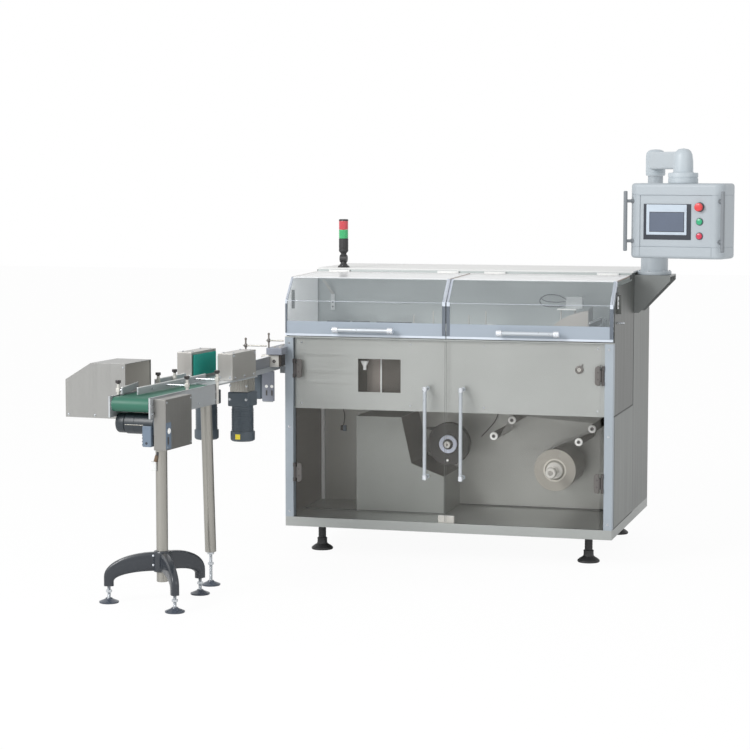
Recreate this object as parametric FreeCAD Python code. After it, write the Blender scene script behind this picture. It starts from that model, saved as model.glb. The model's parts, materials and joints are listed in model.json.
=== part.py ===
import FreeCAD, Part
import math
import os

from FreeCAD import Vector

# An overwrapping machine with its infeed conveyor, in millimetres. The sizes below are
# measured from the cabinet's front left corner on the floor: +X to the right along the
# front, +Y to the back, +Z up. The finished pieces are shifted so that the origin is the
# centre of the floor area that the whole machine covers.

# Cabinet
CABINET_WIDTH = 1650.0
CABINET_DEPTH = 1124.0
FRONT_DEPTH = 608.0
FOOT_HEIGHT = 140.0
PLINTH_HEIGHT = 47.0
DOOR_OPENING_HEIGHT = 900.0
TABLE_THICKNESS = 5.0
SHEET = 3.0
POST_WIDTH = 42.0
FOOT_INSET_LEFT = 140.0
FOOT_INSET_RIGHT = 142.0
FOOT_INSET_FRONT = 171.0
FOOT_INSET_BACK = 80.0
FOOT_PAD_R = 56.0
UPPER_WALL_Y = 548.0
ROOF_THICKNESS = 8.0
ROOF_SETBACK = 14.0
SEAT_GAP = 0.3
RUN_GAP = 5.0
PIN_CLEARANCE = 0.05
TABLE_SLOT_LENGTH = 300.0
TABLE_SLOT_WIDTH = 60.0
LATCH_Y = 90.0
LATCH_Z = 1226.0
LATCH_WIDTH = 20.0
LATCH_HEIGHT = 93.0

# Lower front panel behind the glass, with its window
PANEL_BOTTOM = 733.0
PANEL_SETBACK = 24.0
WINDOW_LEFT = 372.0
WINDOW_WIDTH = 218.0
WINDOW_BOTTOM = 822.0
WINDOW_HEIGHT = 165.0

# Infeed opening in the left side panel
INFEED_OPENING_Y = 150.0
INFEED_OPENING_LENGTH = 240.0
INFEED_OPENING_HEIGHT = 120.0

# Acrylic covers over the work table
COVER_THICKNESS = 5.0
COVER_FRONT_HEIGHT = 170.0
COVER_SLOPE_RUN = 104.0
COVER_SLOPE_RISE = 117.0
COVER_TOP_RISE = 8.0
COVER_CHEEK = 22.0
COVER_BACK_GAP = 14.0
COVER_PIN_R = 2.5
COVER_KNUCKLE_R = 5.0
COVER_HINGE_LENGTH = 90.0
COVER_HINGE_INSET = 120.0
COVER_LEAF = 45.0
COVER_LEAF_THICKNESS = 2.5
COVER_HANDLE_LENGTH = 310.0
COVER_HANDLE_R = 10.0
COVER_HANDLE_SLEEVE = 38.0
COVER_HANDLE_RISE = 35.0
COVER_HANDLE_REACH = 42.0
LEFT_COVER_HANDLE = 258.0
RIGHT_COVER_HANDLE = 259.0

# Glass doors
GLASS_THICKNESS = 6.0
DOOR_HINGE_OFFSET = 9.0
DOOR_PIN_R = 5.0
DOOR_KNUCKLE_R = 8.0
DOOR_KNUCKLE_HEIGHT = 54.0
LUG_CLEARANCE = 1.0
DOOR_CLAMP_WIDTH = 45.0
DOOR_CLAMP_HEIGHT = 94.0
DOOR_CLAMP_THICKNESS = 18.0
DOOR_CLAMP_LOW = 366.0
DOOR_CLAMP_HIGH = 887.0
DOOR_HANDLE_R = 10.0
DOOR_HANDLE_REACH = 60.0
DOOR_HANDLE_BOTTOM = 407.0
DOOR_HANDLE_LENGTH = 457.0
DOOR_HANDLE_FROM_GAP = 90.0

# Lock on the upper panel, and the catch at the foot of the doors
LOCK_FROM_RIGHT = 169.0
LOCK_Z = 959.0
LOCK_R = 22.0
LOCK_REACH = 10.0
CATCH_WIDTH = 80.0
CATCH_HEIGHT = 36.0
CATCH_Y = 12.0
CATCH_DEPTH = 18.0

# Film roll and its shaft in the lower compartment
FILM_FROM_RIGHT = 331.0
FILM_Z = 434.0
FILM_R = 105.0
FILM_LENGTH = 270.0
FILM_CORE_BORE = 49.0
FILM_SHAFT_R = 20.0
FILM_KNOB_R = 27.0
FILM_KNOB_LENGTH = 30.0
FILM_PLUG_LENGTH = 30.0
FILM_FRONT_Y = 260.0
FILM_SHAFT_FRONT_Y = 175.0
FILM_THICKNESS = 0.6
BEARING_WALL = 22.0
BEARING_LENGTH = 32.0

# Guide rollers, numbered along the film's way
ROLLER_1_FROM_RIGHT = 538.5
ROLLER_1_Z = 683.0
ROLLER_2_FROM_RIGHT = 630.0
ROLLER_2_Z = 601.0
ROLLER_3_FROM_RIGHT = 137.0
ROLLER_3_Z = 652.0
ROLLER_4_FROM_RIGHT = 203.0
ROLLER_4_Z = 585.0
GUIDE_ROLLER_R = 20.0
GUIDE_AXLE_R = 8.0
GUIDE_COLLAR_R = 14.0
GUIDE_ROLLER_FRONT_Y = 205.0
GUIDE_ROLLER_LENGTH = 350.0

# Tape reel in front of the chute
REEL_FROM_MIDDLE = 62.0
REEL_Z = 540.0
REEL_R = 108.0
REEL_FRONT_Y = 310.0
REEL_WIDTH = 48.0
REEL_AXLE_R = 12.0
REEL_AXLE_REACH = 26.0
REEL_RING_R = 46.0
REEL_RING_BORE = 27.0
REEL_RING_REACH = 10.0

# Chute under the table
CHUTE_LEFT = 295.0
CHUTE_FROM_MIDDLE = 72.0
CHUTE_FRONT_Y = 260.0
CHUTE_TOP = 675.0
CHUTE_VALLEY_FROM_RIGHT = 170.0
CHUTE_VALLEY_Z = 442.0
CHUTE_LEDGE_RUN = 53.0
CHUTE_LIP_Z = 380.0

# Fittings on the work table
PIN_R = 4.0
PIN_Y = 150.0
REAR_PIN_Y = 200.0
PIN_HEIGHT = 58.0
TALL_PIN_HEIGHT = 90.0
FRONT_PIN_FAR = 180.0
FRONT_PIN_NEAR = 80.0
REAR_PIN_NEAR = 100.0
REAR_PIN_FAR = 185.0
PLATFORM_FROM_RIGHT = 250.0
PLATFORM_WIDTH = 112.0
PLATFORM_Y = 290.0
PLATFORM_DEPTH = 80.0
PLATFORM_HEIGHT = 95.0
PLATFORM_THICKNESS = 6.0
PLATFORM_LEG_R = 6.0
PLATFORM_LEG_INSET = 20.0
HEAD_HEIGHT = 60.0
HEAD_INSET = 20.0
GUIDE_FROM_RIGHT = 115.0
GUIDE_Y = 120.0
GUIDE_LENGTH = 320.0
GUIDE_LOW = 40.0
GUIDE_HIGH = 90.0
GUIDE_FLAT = 40.0
SHELF_WIDTH = 65.0
SHELF_HEIGHT = 34.0

# Signal tower
TOWER_X = 120.0
TOWER_Y = 625.0
TOWER_R = 24.5
TOWER_PLATE_R = 30.0
TOWER_PLATE_HEIGHT = 8.0
TOWER_NECK_R = 14.0
TOWER_BASE_HEIGHT = 90.0
TOWER_BODY_HEIGHT = 60.0
TOWER_LENS_HEIGHT = 46.0
TOWER_CAP_HEIGHT = 9.0

# Column, bracket and arm of the control panel
COLUMN_FROM_SIDE = 87.0
COLUMN_Y = 700.0
COLUMN_R = 38.0
COLUMN_FLANGE_R = 86.0
COLUMN_FLANGE_HEIGHT = 18.0
COLUMN_BASE_R = 68.0
COLUMN_BASE_HEIGHT = 100.0
COLUMN_COLLAR_R = 49.0
COLUMN_TOP = 2020.0
BRACKET_TOP = 1390.0
BRACKET_REACH = 180.0
BRACKET_DEPTH = 210.0
BRACKET_DROP = 190.0
BRACKET_NOSE = 20.0
BRACKET_FOOT = 25.0
BRACKET_SHEET = 6.0
BRACKET_TOP_THICKNESS = 8.0
ARM_WIDTH = 84.0
ARM_HEIGHT = 85.0
ARM_TOP_DROP = 15.0
ELBOW_HEIGHT = 133.0
ARM_REACH = 516.8
ARM_ANGLE = -66.8
ELBOW_PROFILE = ((0.94, 0.0), (1.0, 0.15), (0.98, 0.75), (0.9, 0.9), (0.6, 1.0))
DOME_R = 47.0
DOME_PROFILE = ((1.0, 0.0), (0.99, 0.48), (0.91, 0.74), (0.77, 0.87), (0.51, 0.965), (0.15, 1.0))
DOME_RING_R = 72.0
DOME_RING_HEIGHT = 50.0

# Control panel
PANEL_DROP = 167.0
PANEL_WIDTH = 476.0
PANEL_HEIGHT = 359.0
PANEL_DEPTH = 196.0
PANEL_TURN = -13.0
PANEL_CORNER_R = 44.0
PANEL_EDGE = 14.0
PANEL_FACE_RECESS = 5.0
PANEL_FACE_MARGIN = 56.0
PANEL_FACE_WIDTH = 364.0
SCREEN_LEFT = 75.0
SCREEN_UP = 90.0
SCREEN_WIDTH = 241.0
SCREEN_HEIGHT = 171.0
SCREEN_PLATE = 2.0
DISPLAY_INSET_LEFT = 15.0
DISPLAY_INSET_TOP = 3.0
DISPLAY_WIDTH = 205.0
DISPLAY_HEIGHT = 145.0
DISPLAY_REACH = 3.0
BUTTON_FROM_MIDDLE = 121.0
STOP_BUTTON_R = 20.0
STOP_BUTTON_REACH = 26.0
STOP_BUTTON_UP = 247.0
BUTTON_R = 15.0
BUTTON_REACH = 10.0
START_BUTTON_UP = 177.5
HALT_BUTTON_UP = 109.0
PANEL_HANDLE_R = 9.5
PANEL_HANDLE_LENGTH = 288.0
PANEL_HANDLE_UP = 34.0
PANEL_HANDLE_X = 246.0
PANEL_HANDLE_Y = 122.0
PANEL_HANDLE_LEG = 48.0

# Infeed conveyor, drawn straight and then turned a little about its stand
INFEED_TURN = -5.0
CONVEYOR_X = -127.0
CONVEYOR_WIDTH = 200.0
CONVEYOR_NEAR = 330.0
CONVEYOR_FAR = 347.0
CONVEYOR_TOP = 950.0
CONVEYOR_SIDE_HEIGHT = 91.0
CONVEYOR_SIDE_SHEET = 8.0
CONVEYOR_TIE = 40.0
BELT_WIDTH = 176.0
BELT_TOP = 946.0
BELT_ROLLER_R = 31.0
BELT_THICKNESS = 3.0
BELT_END_GAP = 2.0
BED_THICKNESS = 12.0
DRIVE_COVER_START = 30.0
DRIVE_COVER_WIDTH = 58.0
DRIVE_COVER_LENGTH = 258.0
DRIVE_COVER_BOTTOM = 722.0
DRIVE_COVER_TOP = 942.0
MOTOR_R = 46.0
MOTOR_START = 80.0
MOTOR_Z = 830.0
MOTOR_LENGTH = 165.0
MOTOR_CAP_R = 43.0
MOTOR_CAP_LENGTH = 42.0
TERMINAL_BOTTOM = 734.0
TERMINAL_WIDTH = 44.0
TERMINAL_DEPTH = 60.0
HOOD_WIDTH = 294.0
HOOD_START = 160.0
HOOD_LENGTH = 251.0
HOOD_BOTTOM = 834.0
HOOD_TOP = 1076.0
HOOD_CHAMFER_X = 125.0
HOOD_CHAMFER_Z = 76.0
RAIL_HEIGHT = 32.0
RAIL_THICKNESS = 6.0
RIGHT_RAIL_OFFSET = 8.0
RIGHT_RAIL_START = 95.0
LEFT_RAIL_OFFSET = 108.0
LEFT_RAIL_START = 465.0
FLARE_RAIL_START = 80.0
FLARE_RAIL_LENGTH = 260.0
FLARE_RAIL_NEAR_OFFSET = 76.0
FLARE_RAIL_FAR_OFFSET = 130.0
RAIL_FAR = 450.0
LEFT_POST_NEAR = 474.0
LEFT_POST_FAR = 642.0
RIGHT_POST = 371.0
CLAMP_POST_R = 7.0
CLAMP_POST_HEIGHT = 46.0
CLAMP_ROD_R = 4.0
CLAMP_ROD_UP = 20.0
KNOB_R = 13.0
KNOB_HEIGHT = 17.0

# Side belt gates beyond the conveyor's far end
GATE_START = 530.0
GATE_LENGTH = 270.0
GATE_WIDTH = 75.0
GATE_HEIGHT = 125.0
GATE_GAP = 133.0
GATE_CENTRE_OFFSET = -48.0
GATE_BELT_INSET = 7.0
GATE_BELT_MARGIN = 12.0
GATE_PLATE = 8.0
GEARBOX_WIDTH = 88.0
GEARBOX_LENGTH = 95.0
GEARBOX_SETBACK = 5.0
GEARBOX_INWARD = 10.0
GEARBOX_BOTTOM = 875.0
GEAR_FLANGE_BOTTOM = 807.0
GATE_MOTOR_R = 53.0
GATE_MOTOR_CAP_R = 58.0
GATE_MOTOR_CAP_TOP = 687.0
GATE_MOTOR_BOTTOM = 640.0

# Bridge from the gates along the cabinet
BRIDGE_X = -106.0
BRIDGE_WIDTH = 120.0
BRIDGE_START_Y = -529.0
BRIDGE_FAR_Y = 400.0
BRIDGE_DEPTH = 24.0
BRIDGE_BRACKET = 30.0
BRIDGE_BRACKET_DROP = 44.0
SIDE_RAIL_WIDTH = 22.0
SIDE_RAIL_HEIGHT = 54.0
SIDE_RAIL_FAR_Y = -100.0
BEARING_BLOCK_Y = -95.0
BEARING_BLOCK_LENGTH = 76.0
BEARING_BLOCK_WIDTH = 48.0
BEARING_BLOCK_HEIGHT = 48.0
GUIDE_BLOCK_Y = -115.0
GUIDE_BLOCK_LENGTH = 265.0
GUIDE_BLOCK_WIDTH = 60.0
GUIDE_BLOCK_BOTTOM = 1008.0
GUIDE_BLOCK_HEIGHT = 34.0
STUD_R = 4.0
STUD_HEIGHT = 58.0
STUD_CLAMP_R = 9.0
CROSS_ROD_REACH = 100.0
CROSS_ROD_UP = 30.0
PLATE_Y = -44.0
PLATE_WIDTH = 55.0
PLATE_BOTTOM = 766.0
SMALL_MOTOR_BOTTOM = 780.0
SMALL_MOTOR_WIDTH = 43.0
SMALL_MOTOR_DEPTH = 60.0

# Stands
STAND_TUBE_R = 26.0
STAND_X = -139.0
STAND_Y = -1340.0
STAND_TUBE_BOTTOM = 94.0
STAND_HEAD_LENGTH = 140.0
STAND_HEAD_WIDTH = 100.0
STAND_HEAD_THICKNESS = 12.0
TRIPOD_RADIUS = 238.0
TRIPOD_ANGLES = (-56.0, -162.0, 66.0)
TRIPOD_HUB_R = 42.0
TRIPOD_HUB_BOTTOM = 140.0
TRIPOD_HUB_HEIGHT = 94.0
TRIPOD_ARM_WIDTH = 46.0
TRIPOD_ARM_END = 22.0
TRIPOD_ARM_FOOT = 44.0
TRIPOD_ARM_BOTTOM = 76.0
TRIPOD_ARM_STEPS = 7
STAND_PAD_R = 44.0
SECOND_STAND_X = -70.0
SECOND_STAND_Y = -904.0
SECOND_STAND_LEAN = -20.0
SECOND_TUBE_BOTTOM = 156.0

# Levels and planes that follow from the sizes above
PLINTH_TOP = FOOT_HEIGHT + PLINTH_HEIGHT
TABLE_BOTTOM = PLINTH_TOP + DOOR_OPENING_HEIGHT
TABLE_TOP = TABLE_BOTTOM + TABLE_THICKNESS
COVER_BOTTOM = TABLE_TOP + RUN_GAP
COVER_BEND_Z = COVER_BOTTOM + COVER_FRONT_HEIGHT
COVER_SHOULDER_Z = COVER_BEND_Z + COVER_SLOPE_RISE
COVER_BACK_Z = COVER_SHOULDER_Z + COVER_TOP_RISE
COVER_BACK_Y = UPPER_WALL_Y - COVER_BACK_GAP
ROOF_BOTTOM = COVER_BACK_Z + 2 * COVER_KNUCKLE_R
ROOF_TOP = ROOF_BOTTOM + ROOF_THICKNESS
BACK_WALL_Y = FRONT_DEPTH - SHEET
MIDDLE_X = CABINET_WIDTH / 2
FILM_X = CABINET_WIDTH - FILM_FROM_RIGHT
GUIDE_ROLLERS = [(CABINET_WIDTH - ROLLER_1_FROM_RIGHT, ROLLER_1_Z),
                 (CABINET_WIDTH - ROLLER_2_FROM_RIGHT, ROLLER_2_Z),
                 (CABINET_WIDTH - ROLLER_3_FROM_RIGHT, ROLLER_3_Z),
                 (CABINET_WIDTH - ROLLER_4_FROM_RIGHT, ROLLER_4_Z)]
REEL_X = MIDDLE_X - REEL_FROM_MIDDLE
CHUTE_RIGHT = MIDDLE_X - CHUTE_FROM_MIDDLE
COLUMN_X = CABINET_WIDTH + COLUMN_FROM_SIDE
PANEL_TOP_Z = COLUMN_TOP - PANEL_DROP
PANEL_BOTTOM_Z = PANEL_TOP_Z - PANEL_HEIGHT
CONVEYOR_NEAR_Y = STAND_Y - CONVEYOR_NEAR
CONVEYOR_FAR_Y = STAND_Y + CONVEYOR_FAR
CONVEYOR_BOTTOM = CONVEYOR_TOP - CONVEYOR_SIDE_HEIGHT
GATE_NEAR_Y = STAND_Y + GATE_START
GATE_FAR_Y = GATE_NEAR_Y + GATE_LENGTH
GATE_TOP = BELT_TOP + GATE_HEIGHT

nodes = {}


def box(x0, x1, y0, y1, z0, z1):
    return Part.makeBox(x1 - x0, y1 - y0, z1 - z0, Vector(x0, y0, z0))


def rod(start, end, radius):
    start, end = Vector(*start), Vector(*end)
    return Part.makeCylinder(radius, (end - start).Length, start, end - start)


def tube(start, end, radius, bore):
    return rod(start, end, radius).cut(rod(start, end, bore))


def face_of(points):
    return Part.Face(Part.makePolygon(list(points) + [points[0]]))


def prism_along_x(profile, x0, x1):
    return face_of([Vector(x0, y, z) for y, z in profile]).extrude(Vector(x1 - x0, 0, 0))


def prism_along_y(profile, y0, y1):
    return face_of([Vector(x, y0, z) for x, z in profile]).extrude(Vector(0, y1 - y0, 0))


def many_sided(start, end, radius, sides=12):
    """A straight bar with a regular polygon as its section."""
    start, end = Vector(*start), Vector(*end)
    axis = end - start
    across = axis.cross(Vector(0, 0, 1))
    if across.Length < 1e-6 * axis.Length:
        across = Vector(1, 0, 0)
    across.normalize()
    other = axis.cross(across).normalize()
    corners = []
    for index in range(sides):
        turn = 2 * math.pi * index / sides
        corners.append(start + across * (radius * math.cos(turn)) + other * (radius * math.sin(turn)))
    return face_of(corners).extrude(axis)


def faceted(profile, x, y, sides=16):
    """An upright many-sided piece from (radius, height) points, closed at both ends."""
    rings = []
    for radius, z in profile:
        turns = [2 * math.pi * index / sides for index in range(sides)]
        rings.append([Vector(x + radius * math.cos(t), y + radius * math.sin(t), z) for t in turns])
    faces = [face_of(rings[0]), face_of(rings[-1])]
    for low, high in zip(rings, rings[1:]):
        for index in range(sides):
            after = (index + 1) % sides
            faces.append(face_of([low[index], low[after], high[after], high[index]]))
    solid = Part.makeSolid(Part.makeShell(faces))
    if solid.Volume < 0:
        solid.reverse()
    return solid


def joined(*shapes):
    whole = shapes[0].multiFuse(list(shapes[1:])) if len(shapes) > 1 else shapes[0]
    return whole.removeSplitter()


def turned_about(shape, x, y, degrees):
    copy = shape.copy()
    copy.rotate(Vector(x, y, 0), Vector(0, 0, 1), degrees)
    return copy


def node(name, *solids):
    """Keep the solids that make up one named piece."""
    nodes[name] = list(solids)


def bar_handle(start, end, radius, reach, inset):
    """A bar on two legs that stand on the surface behind it."""
    first, last, reach = Vector(*start), Vector(*end), Vector(*reach)
    along = (last - first).normalize()
    feet = (first + along * inset, last - along * inset)
    legs = [many_sided(foot, foot + reach, radius * 0.6) for foot in feet]
    return joined(many_sided(start, end, radius, 16), *legs)


# Cabinet

def levelling_foot(x, y):
    """A foot with a moulded bell, a lock nut and a threaded stem."""
    bell, neck, stem = FOOT_PAD_R * 0.82, FOOT_PAD_R * 0.36, FOOT_PAD_R * 0.2
    return faceted([(FOOT_PAD_R, 0), (FOOT_PAD_R, 10), (bell, 19), (neck, 32), (neck, 56), (stem, 60),
                    (stem, 74), (neck, 74), (neck, 88), (stem, 88), (stem, FOOT_HEIGHT)], x, y, 12)


def cabinet_feet():
    xs = (FOOT_INSET_LEFT, CABINET_WIDTH - FOOT_INSET_RIGHT)
    ys = (FOOT_INSET_FRONT, CABINET_DEPTH - FOOT_INSET_BACK)
    return [levelling_foot(x, y) for x in xs for y in ys]


def front_post(x):
    return box(x, x + POST_WIDTH, 0, POST_WIDTH, PLINTH_TOP, TABLE_BOTTOM)


def cover_profile(inset):
    """The outline that the covers' outside follows, moved inwards by inset."""
    rise = math.atan2(COVER_SLOPE_RISE, COVER_SLOPE_RUN)
    top_slope = math.atan2(COVER_TOP_RISE, COVER_BACK_Y - COVER_SLOPE_RUN)
    along = inset * math.tan((rise - top_slope) / 2)
    shoulder_y = COVER_SLOPE_RUN + inset * math.sin(top_slope) + along * math.cos(top_slope)
    shoulder_z = COVER_SHOULDER_Z - inset * math.cos(top_slope) + along * math.sin(top_slope)
    bend_z = COVER_BEND_Z - inset * math.tan((math.pi / 2 - rise) / 2)
    back_z = COVER_BACK_Z - inset / math.cos(top_slope)
    return [(inset, COVER_BOTTOM), (inset, bend_z), (shoulder_y, shoulder_z), (COVER_BACK_Y, back_z)]


def side_panel(x0, x1):
    """A side wall whose upper edge runs inside the covers' outline."""
    bottom, bend, shoulder, back = cover_profile(COVER_CHEEK + RUN_GAP)
    profile = [(POST_WIDTH, PLINTH_TOP), (POST_WIDTH, TABLE_BOTTOM), (bottom[0], TABLE_BOTTOM), bend,
               shoulder, (UPPER_WALL_Y, back[1]), (UPPER_WALL_Y, ROOF_BOTTOM),
               (FRONT_DEPTH, ROOF_BOTTOM), (FRONT_DEPTH, PLINTH_TOP)]
    return prism_along_x(profile, x0, x1)


def left_side_panel():
    panel = side_panel(0, SHEET)
    opening = box(0, SHEET, INFEED_OPENING_Y, INFEED_OPENING_Y + INFEED_OPENING_LENGTH,
                  BELT_TOP, BELT_TOP + INFEED_OPENING_HEIGHT)
    latch = box(SHEET, SHEET + LATCH_WIDTH, LATCH_Y, LATCH_Y + SHEET, LATCH_Z, LATCH_Z + LATCH_HEIGHT)
    return joined(panel.cut(opening), latch)


def right_side_panel():
    """The right wall with the latch plate that stands out of it."""
    panel = side_panel(CABINET_WIDTH - SHEET, CABINET_WIDTH)
    latch = box(CABINET_WIDTH, CABINET_WIDTH + LATCH_WIDTH, LATCH_Y, LATCH_Y + SHEET,
                LATCH_Z, LATCH_Z + LATCH_HEIGHT)
    return joined(panel, latch)


def bearing_boss():
    """A boss on the back plate with a blind bearing bore, open to the front."""
    front, back = (FILM_X, BACK_WALL_Y - BEARING_LENGTH, FILM_Z), (FILM_X, BACK_WALL_Y, FILM_Z)
    boss = many_sided(front, back, FILM_SHAFT_R + BEARING_WALL, 20)
    return boss.cut(rod(front, back, FILM_SHAFT_R + PIN_CLEARANCE))


def guide_axle(x, z):
    collar_y = GUIDE_ROLLER_FRONT_Y + GUIDE_ROLLER_LENGTH + SEAT_GAP
    axle = rod((x, GUIDE_ROLLER_FRONT_Y - SHEET, z), (x, BACK_WALL_Y, z), GUIDE_AXLE_R)
    return axle.fuse(many_sided((x, collar_y, z), (x, BACK_WALL_Y, z), GUIDE_COLLAR_R))


def back_plate():
    plate = box(SHEET, CABINET_WIDTH - SHEET, BACK_WALL_Y, FRONT_DEPTH, PLINTH_TOP, TABLE_BOTTOM)
    axles = [guide_axle(x, z) for x, z in GUIDE_ROLLERS]
    back = (REEL_X, BACK_WALL_Y, REEL_Z)
    reel_axle = rod((REEL_X, REEL_FRONT_Y - REEL_AXLE_REACH, REEL_Z), back, REEL_AXLE_R)
    reel_boss = many_sided((REEL_X, REEL_FRONT_Y + REEL_WIDTH + SEAT_GAP, REEL_Z), back, REEL_RING_BORE)
    return joined(plate, bearing_boss(), reel_axle, reel_boss, *axles)


def work_table():
    inner = COVER_CHEEK + RUN_GAP
    slot_x = GUIDE_ROLLERS[1][0] - TABLE_SLOT_WIDTH / 2
    slot = box(slot_x, slot_x + TABLE_SLOT_WIDTH, REAR_PIN_Y + 2 * PIN_R,
               REAR_PIN_Y + TABLE_SLOT_LENGTH, TABLE_BOTTOM, TABLE_TOP)
    table = box(SHEET, CABINET_WIDTH - SHEET, inner, BACK_WALL_Y + SHEET, TABLE_BOTTOM, TABLE_TOP)
    front = box(0, CABINET_WIDTH, 0, inner, TABLE_BOTTOM, TABLE_TOP)
    return joined(table, front).cut(slot)


def front_panel():
    panel = box(POST_WIDTH, CABINET_WIDTH - POST_WIDTH, PANEL_SETBACK, PANEL_SETBACK + SHEET,
                PANEL_BOTTOM, TABLE_BOTTOM)
    window = box(WINDOW_LEFT, WINDOW_LEFT + WINDOW_WIDTH, PANEL_SETBACK, PANEL_SETBACK + SHEET,
                 WINDOW_BOTTOM, WINDOW_BOTTOM + WINDOW_HEIGHT)
    return panel.cut(window)


def chute():
    valley_x = CHUTE_RIGHT - CHUTE_VALLEY_FROM_RIGHT
    profile = [(CHUTE_LEFT, PLINTH_TOP), (CHUTE_RIGHT, PLINTH_TOP), (CHUTE_RIGHT, CHUTE_LIP_Z),
               (valley_x, CHUTE_VALLEY_Z), (valley_x - CHUTE_LEDGE_RUN, CHUTE_TOP), (CHUTE_LEFT, CHUTE_TOP)]
    return prism_along_y(profile, CHUTE_FRONT_Y, BACK_WALL_Y)


def build_cabinet():
    node("base_frame", box(0, CABINET_WIDTH, 0, CABINET_DEPTH, FOOT_HEIGHT, PLINTH_TOP))
    node("cabinet_feet", *cabinet_feet())
    node("front_posts", front_post(0), front_post(CABINET_WIDTH - POST_WIDTH))
    node("left_side_panel", left_side_panel())
    node("right_side_panel", right_side_panel())
    node("back_plate", back_plate())
    node("rear_cabinet", box(0, CABINET_WIDTH, FRONT_DEPTH, CABINET_DEPTH, PLINTH_TOP, ROOF_BOTTOM))
    node("hinge_beam", box(SHEET, CABINET_WIDTH - SHEET, UPPER_WALL_Y, FRONT_DEPTH, TABLE_TOP, ROOF_BOTTOM))
    node("roof_panel", box(0, CABINET_WIDTH, UPPER_WALL_Y + ROOF_SETBACK, CABINET_DEPTH,
                           ROOF_BOTTOM, ROOF_TOP))
    node("front_panel", front_panel())
    node("work_table", work_table())
    node("waste_chute", chute())


# Table fittings

def upright_pin(x, y, height):
    return many_sided((x, y, TABLE_TOP), (x, y, TABLE_TOP + height), PIN_R, 8)


def measuring_platform():
    """A small platform on two legs with a sensor head on it."""
    x0 = CABINET_WIDTH - PLATFORM_FROM_RIGHT
    x1 = x0 + PLATFORM_WIDTH
    y1 = PLATFORM_Y + PLATFORM_DEPTH
    z = TABLE_TOP + PLATFORM_HEIGHT
    legs = [many_sided((x, (PLATFORM_Y + y1) / 2, TABLE_TOP), (x, (PLATFORM_Y + y1) / 2, z), PLATFORM_LEG_R)
            for x in (x0 + PLATFORM_LEG_INSET, x1 - PLATFORM_LEG_INSET)]
    plate = box(x0, x1, PLATFORM_Y, y1, z, z + PLATFORM_THICKNESS)
    head = box(x0 + HEAD_INSET, x1 - HEAD_INSET, PLATFORM_Y + HEAD_INSET, y1 - HEAD_INSET,
               z + PLATFORM_THICKNESS, z + PLATFORM_THICKNESS + HEAD_HEIGHT)
    return joined(*legs, plate, head)


def product_guide():
    """A side guide with a sloped lead-in, on a low shelf."""
    x0 = CABINET_WIDTH - GUIDE_FROM_RIGHT
    y0, y1 = GUIDE_Y, GUIDE_Y + GUIDE_LENGTH
    wall = prism_along_x([(y0, TABLE_TOP), (y1, TABLE_TOP), (y1, TABLE_TOP + GUIDE_HIGH),
                          (y1 - GUIDE_FLAT, TABLE_TOP + GUIDE_HIGH), (y0, TABLE_TOP + GUIDE_LOW)],
                         x0, x0 + 2 * SHEET)
    shelf = box(x0 + 2 * SHEET, x0 + SHELF_WIDTH, y0, y1, TABLE_TOP, TABLE_TOP + SHELF_HEIGHT)
    return joined(wall, shelf)


def build_table_fittings():
    pins = [upright_pin(MIDDLE_X - FRONT_PIN_FAR, PIN_Y, PIN_HEIGHT),
            upright_pin(MIDDLE_X - FRONT_PIN_NEAR, PIN_Y, PIN_HEIGHT),
            upright_pin(MIDDLE_X + REAR_PIN_NEAR, REAR_PIN_Y, PIN_HEIGHT),
            upright_pin(MIDDLE_X + REAR_PIN_FAR, REAR_PIN_Y, TALL_PIN_HEIGHT)]
    node("table_fittings", measuring_platform(), *pins)
    node("product_guide", product_guide())


# Film and tape

def film_roll():
    ends = ((FILM_X, FILM_FRONT_Y, FILM_Z), (FILM_X, FILM_FRONT_Y + FILM_LENGTH, FILM_Z))
    return tube(*ends, FILM_R, FILM_CORE_BORE)


def film_shaft():
    """The shaft with its knob and the two plugs that grip the core."""
    plug_r = FILM_CORE_BORE - SEAT_GAP
    ends = (FILM_FRONT_Y, FILM_FRONT_Y + FILM_LENGTH - FILM_PLUG_LENGTH)
    shaft = rod((FILM_X, FILM_SHAFT_FRONT_Y, FILM_Z), (FILM_X, BACK_WALL_Y - SHEET, FILM_Z), FILM_SHAFT_R)
    knob = many_sided((FILM_X, FILM_SHAFT_FRONT_Y - FILM_KNOB_LENGTH, FILM_Z),
                      (FILM_X, FILM_SHAFT_FRONT_Y, FILM_Z), FILM_KNOB_R, 20)
    plugs = [many_sided((FILM_X, y, FILM_Z), (FILM_X, y + FILM_PLUG_LENGTH, FILM_Z), plug_r, 24)
             for y in ends]
    return joined(shaft, knob, *plugs)


def guide_roller(x, z):
    y0, y1 = GUIDE_ROLLER_FRONT_Y, GUIDE_ROLLER_FRONT_Y + GUIDE_ROLLER_LENGTH
    return tube((x, y0, z), (x, y1, z), GUIDE_ROLLER_R, GUIDE_AXLE_R + PIN_CLEARANCE)


def tangent_run(a, ra, b, rb, side_a, side_b):
    """Ends of the film's straight run between two rollers, on the named side of each."""
    dx, dz = b[0] - a[0], b[1] - a[1]
    length = math.hypot(dx, dz)
    lean = math.asin((side_a * ra - side_b * rb) / length)
    angle = math.atan2(dz, dx) + math.pi / 2 - lean
    normal = (math.cos(angle), math.sin(angle))
    start = (a[0] + side_a * ra * normal[0], a[1] + side_a * ra * normal[1])
    end = (b[0] + side_b * rb * normal[0], b[1] + side_b * rb * normal[1])
    return start, end


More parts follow.
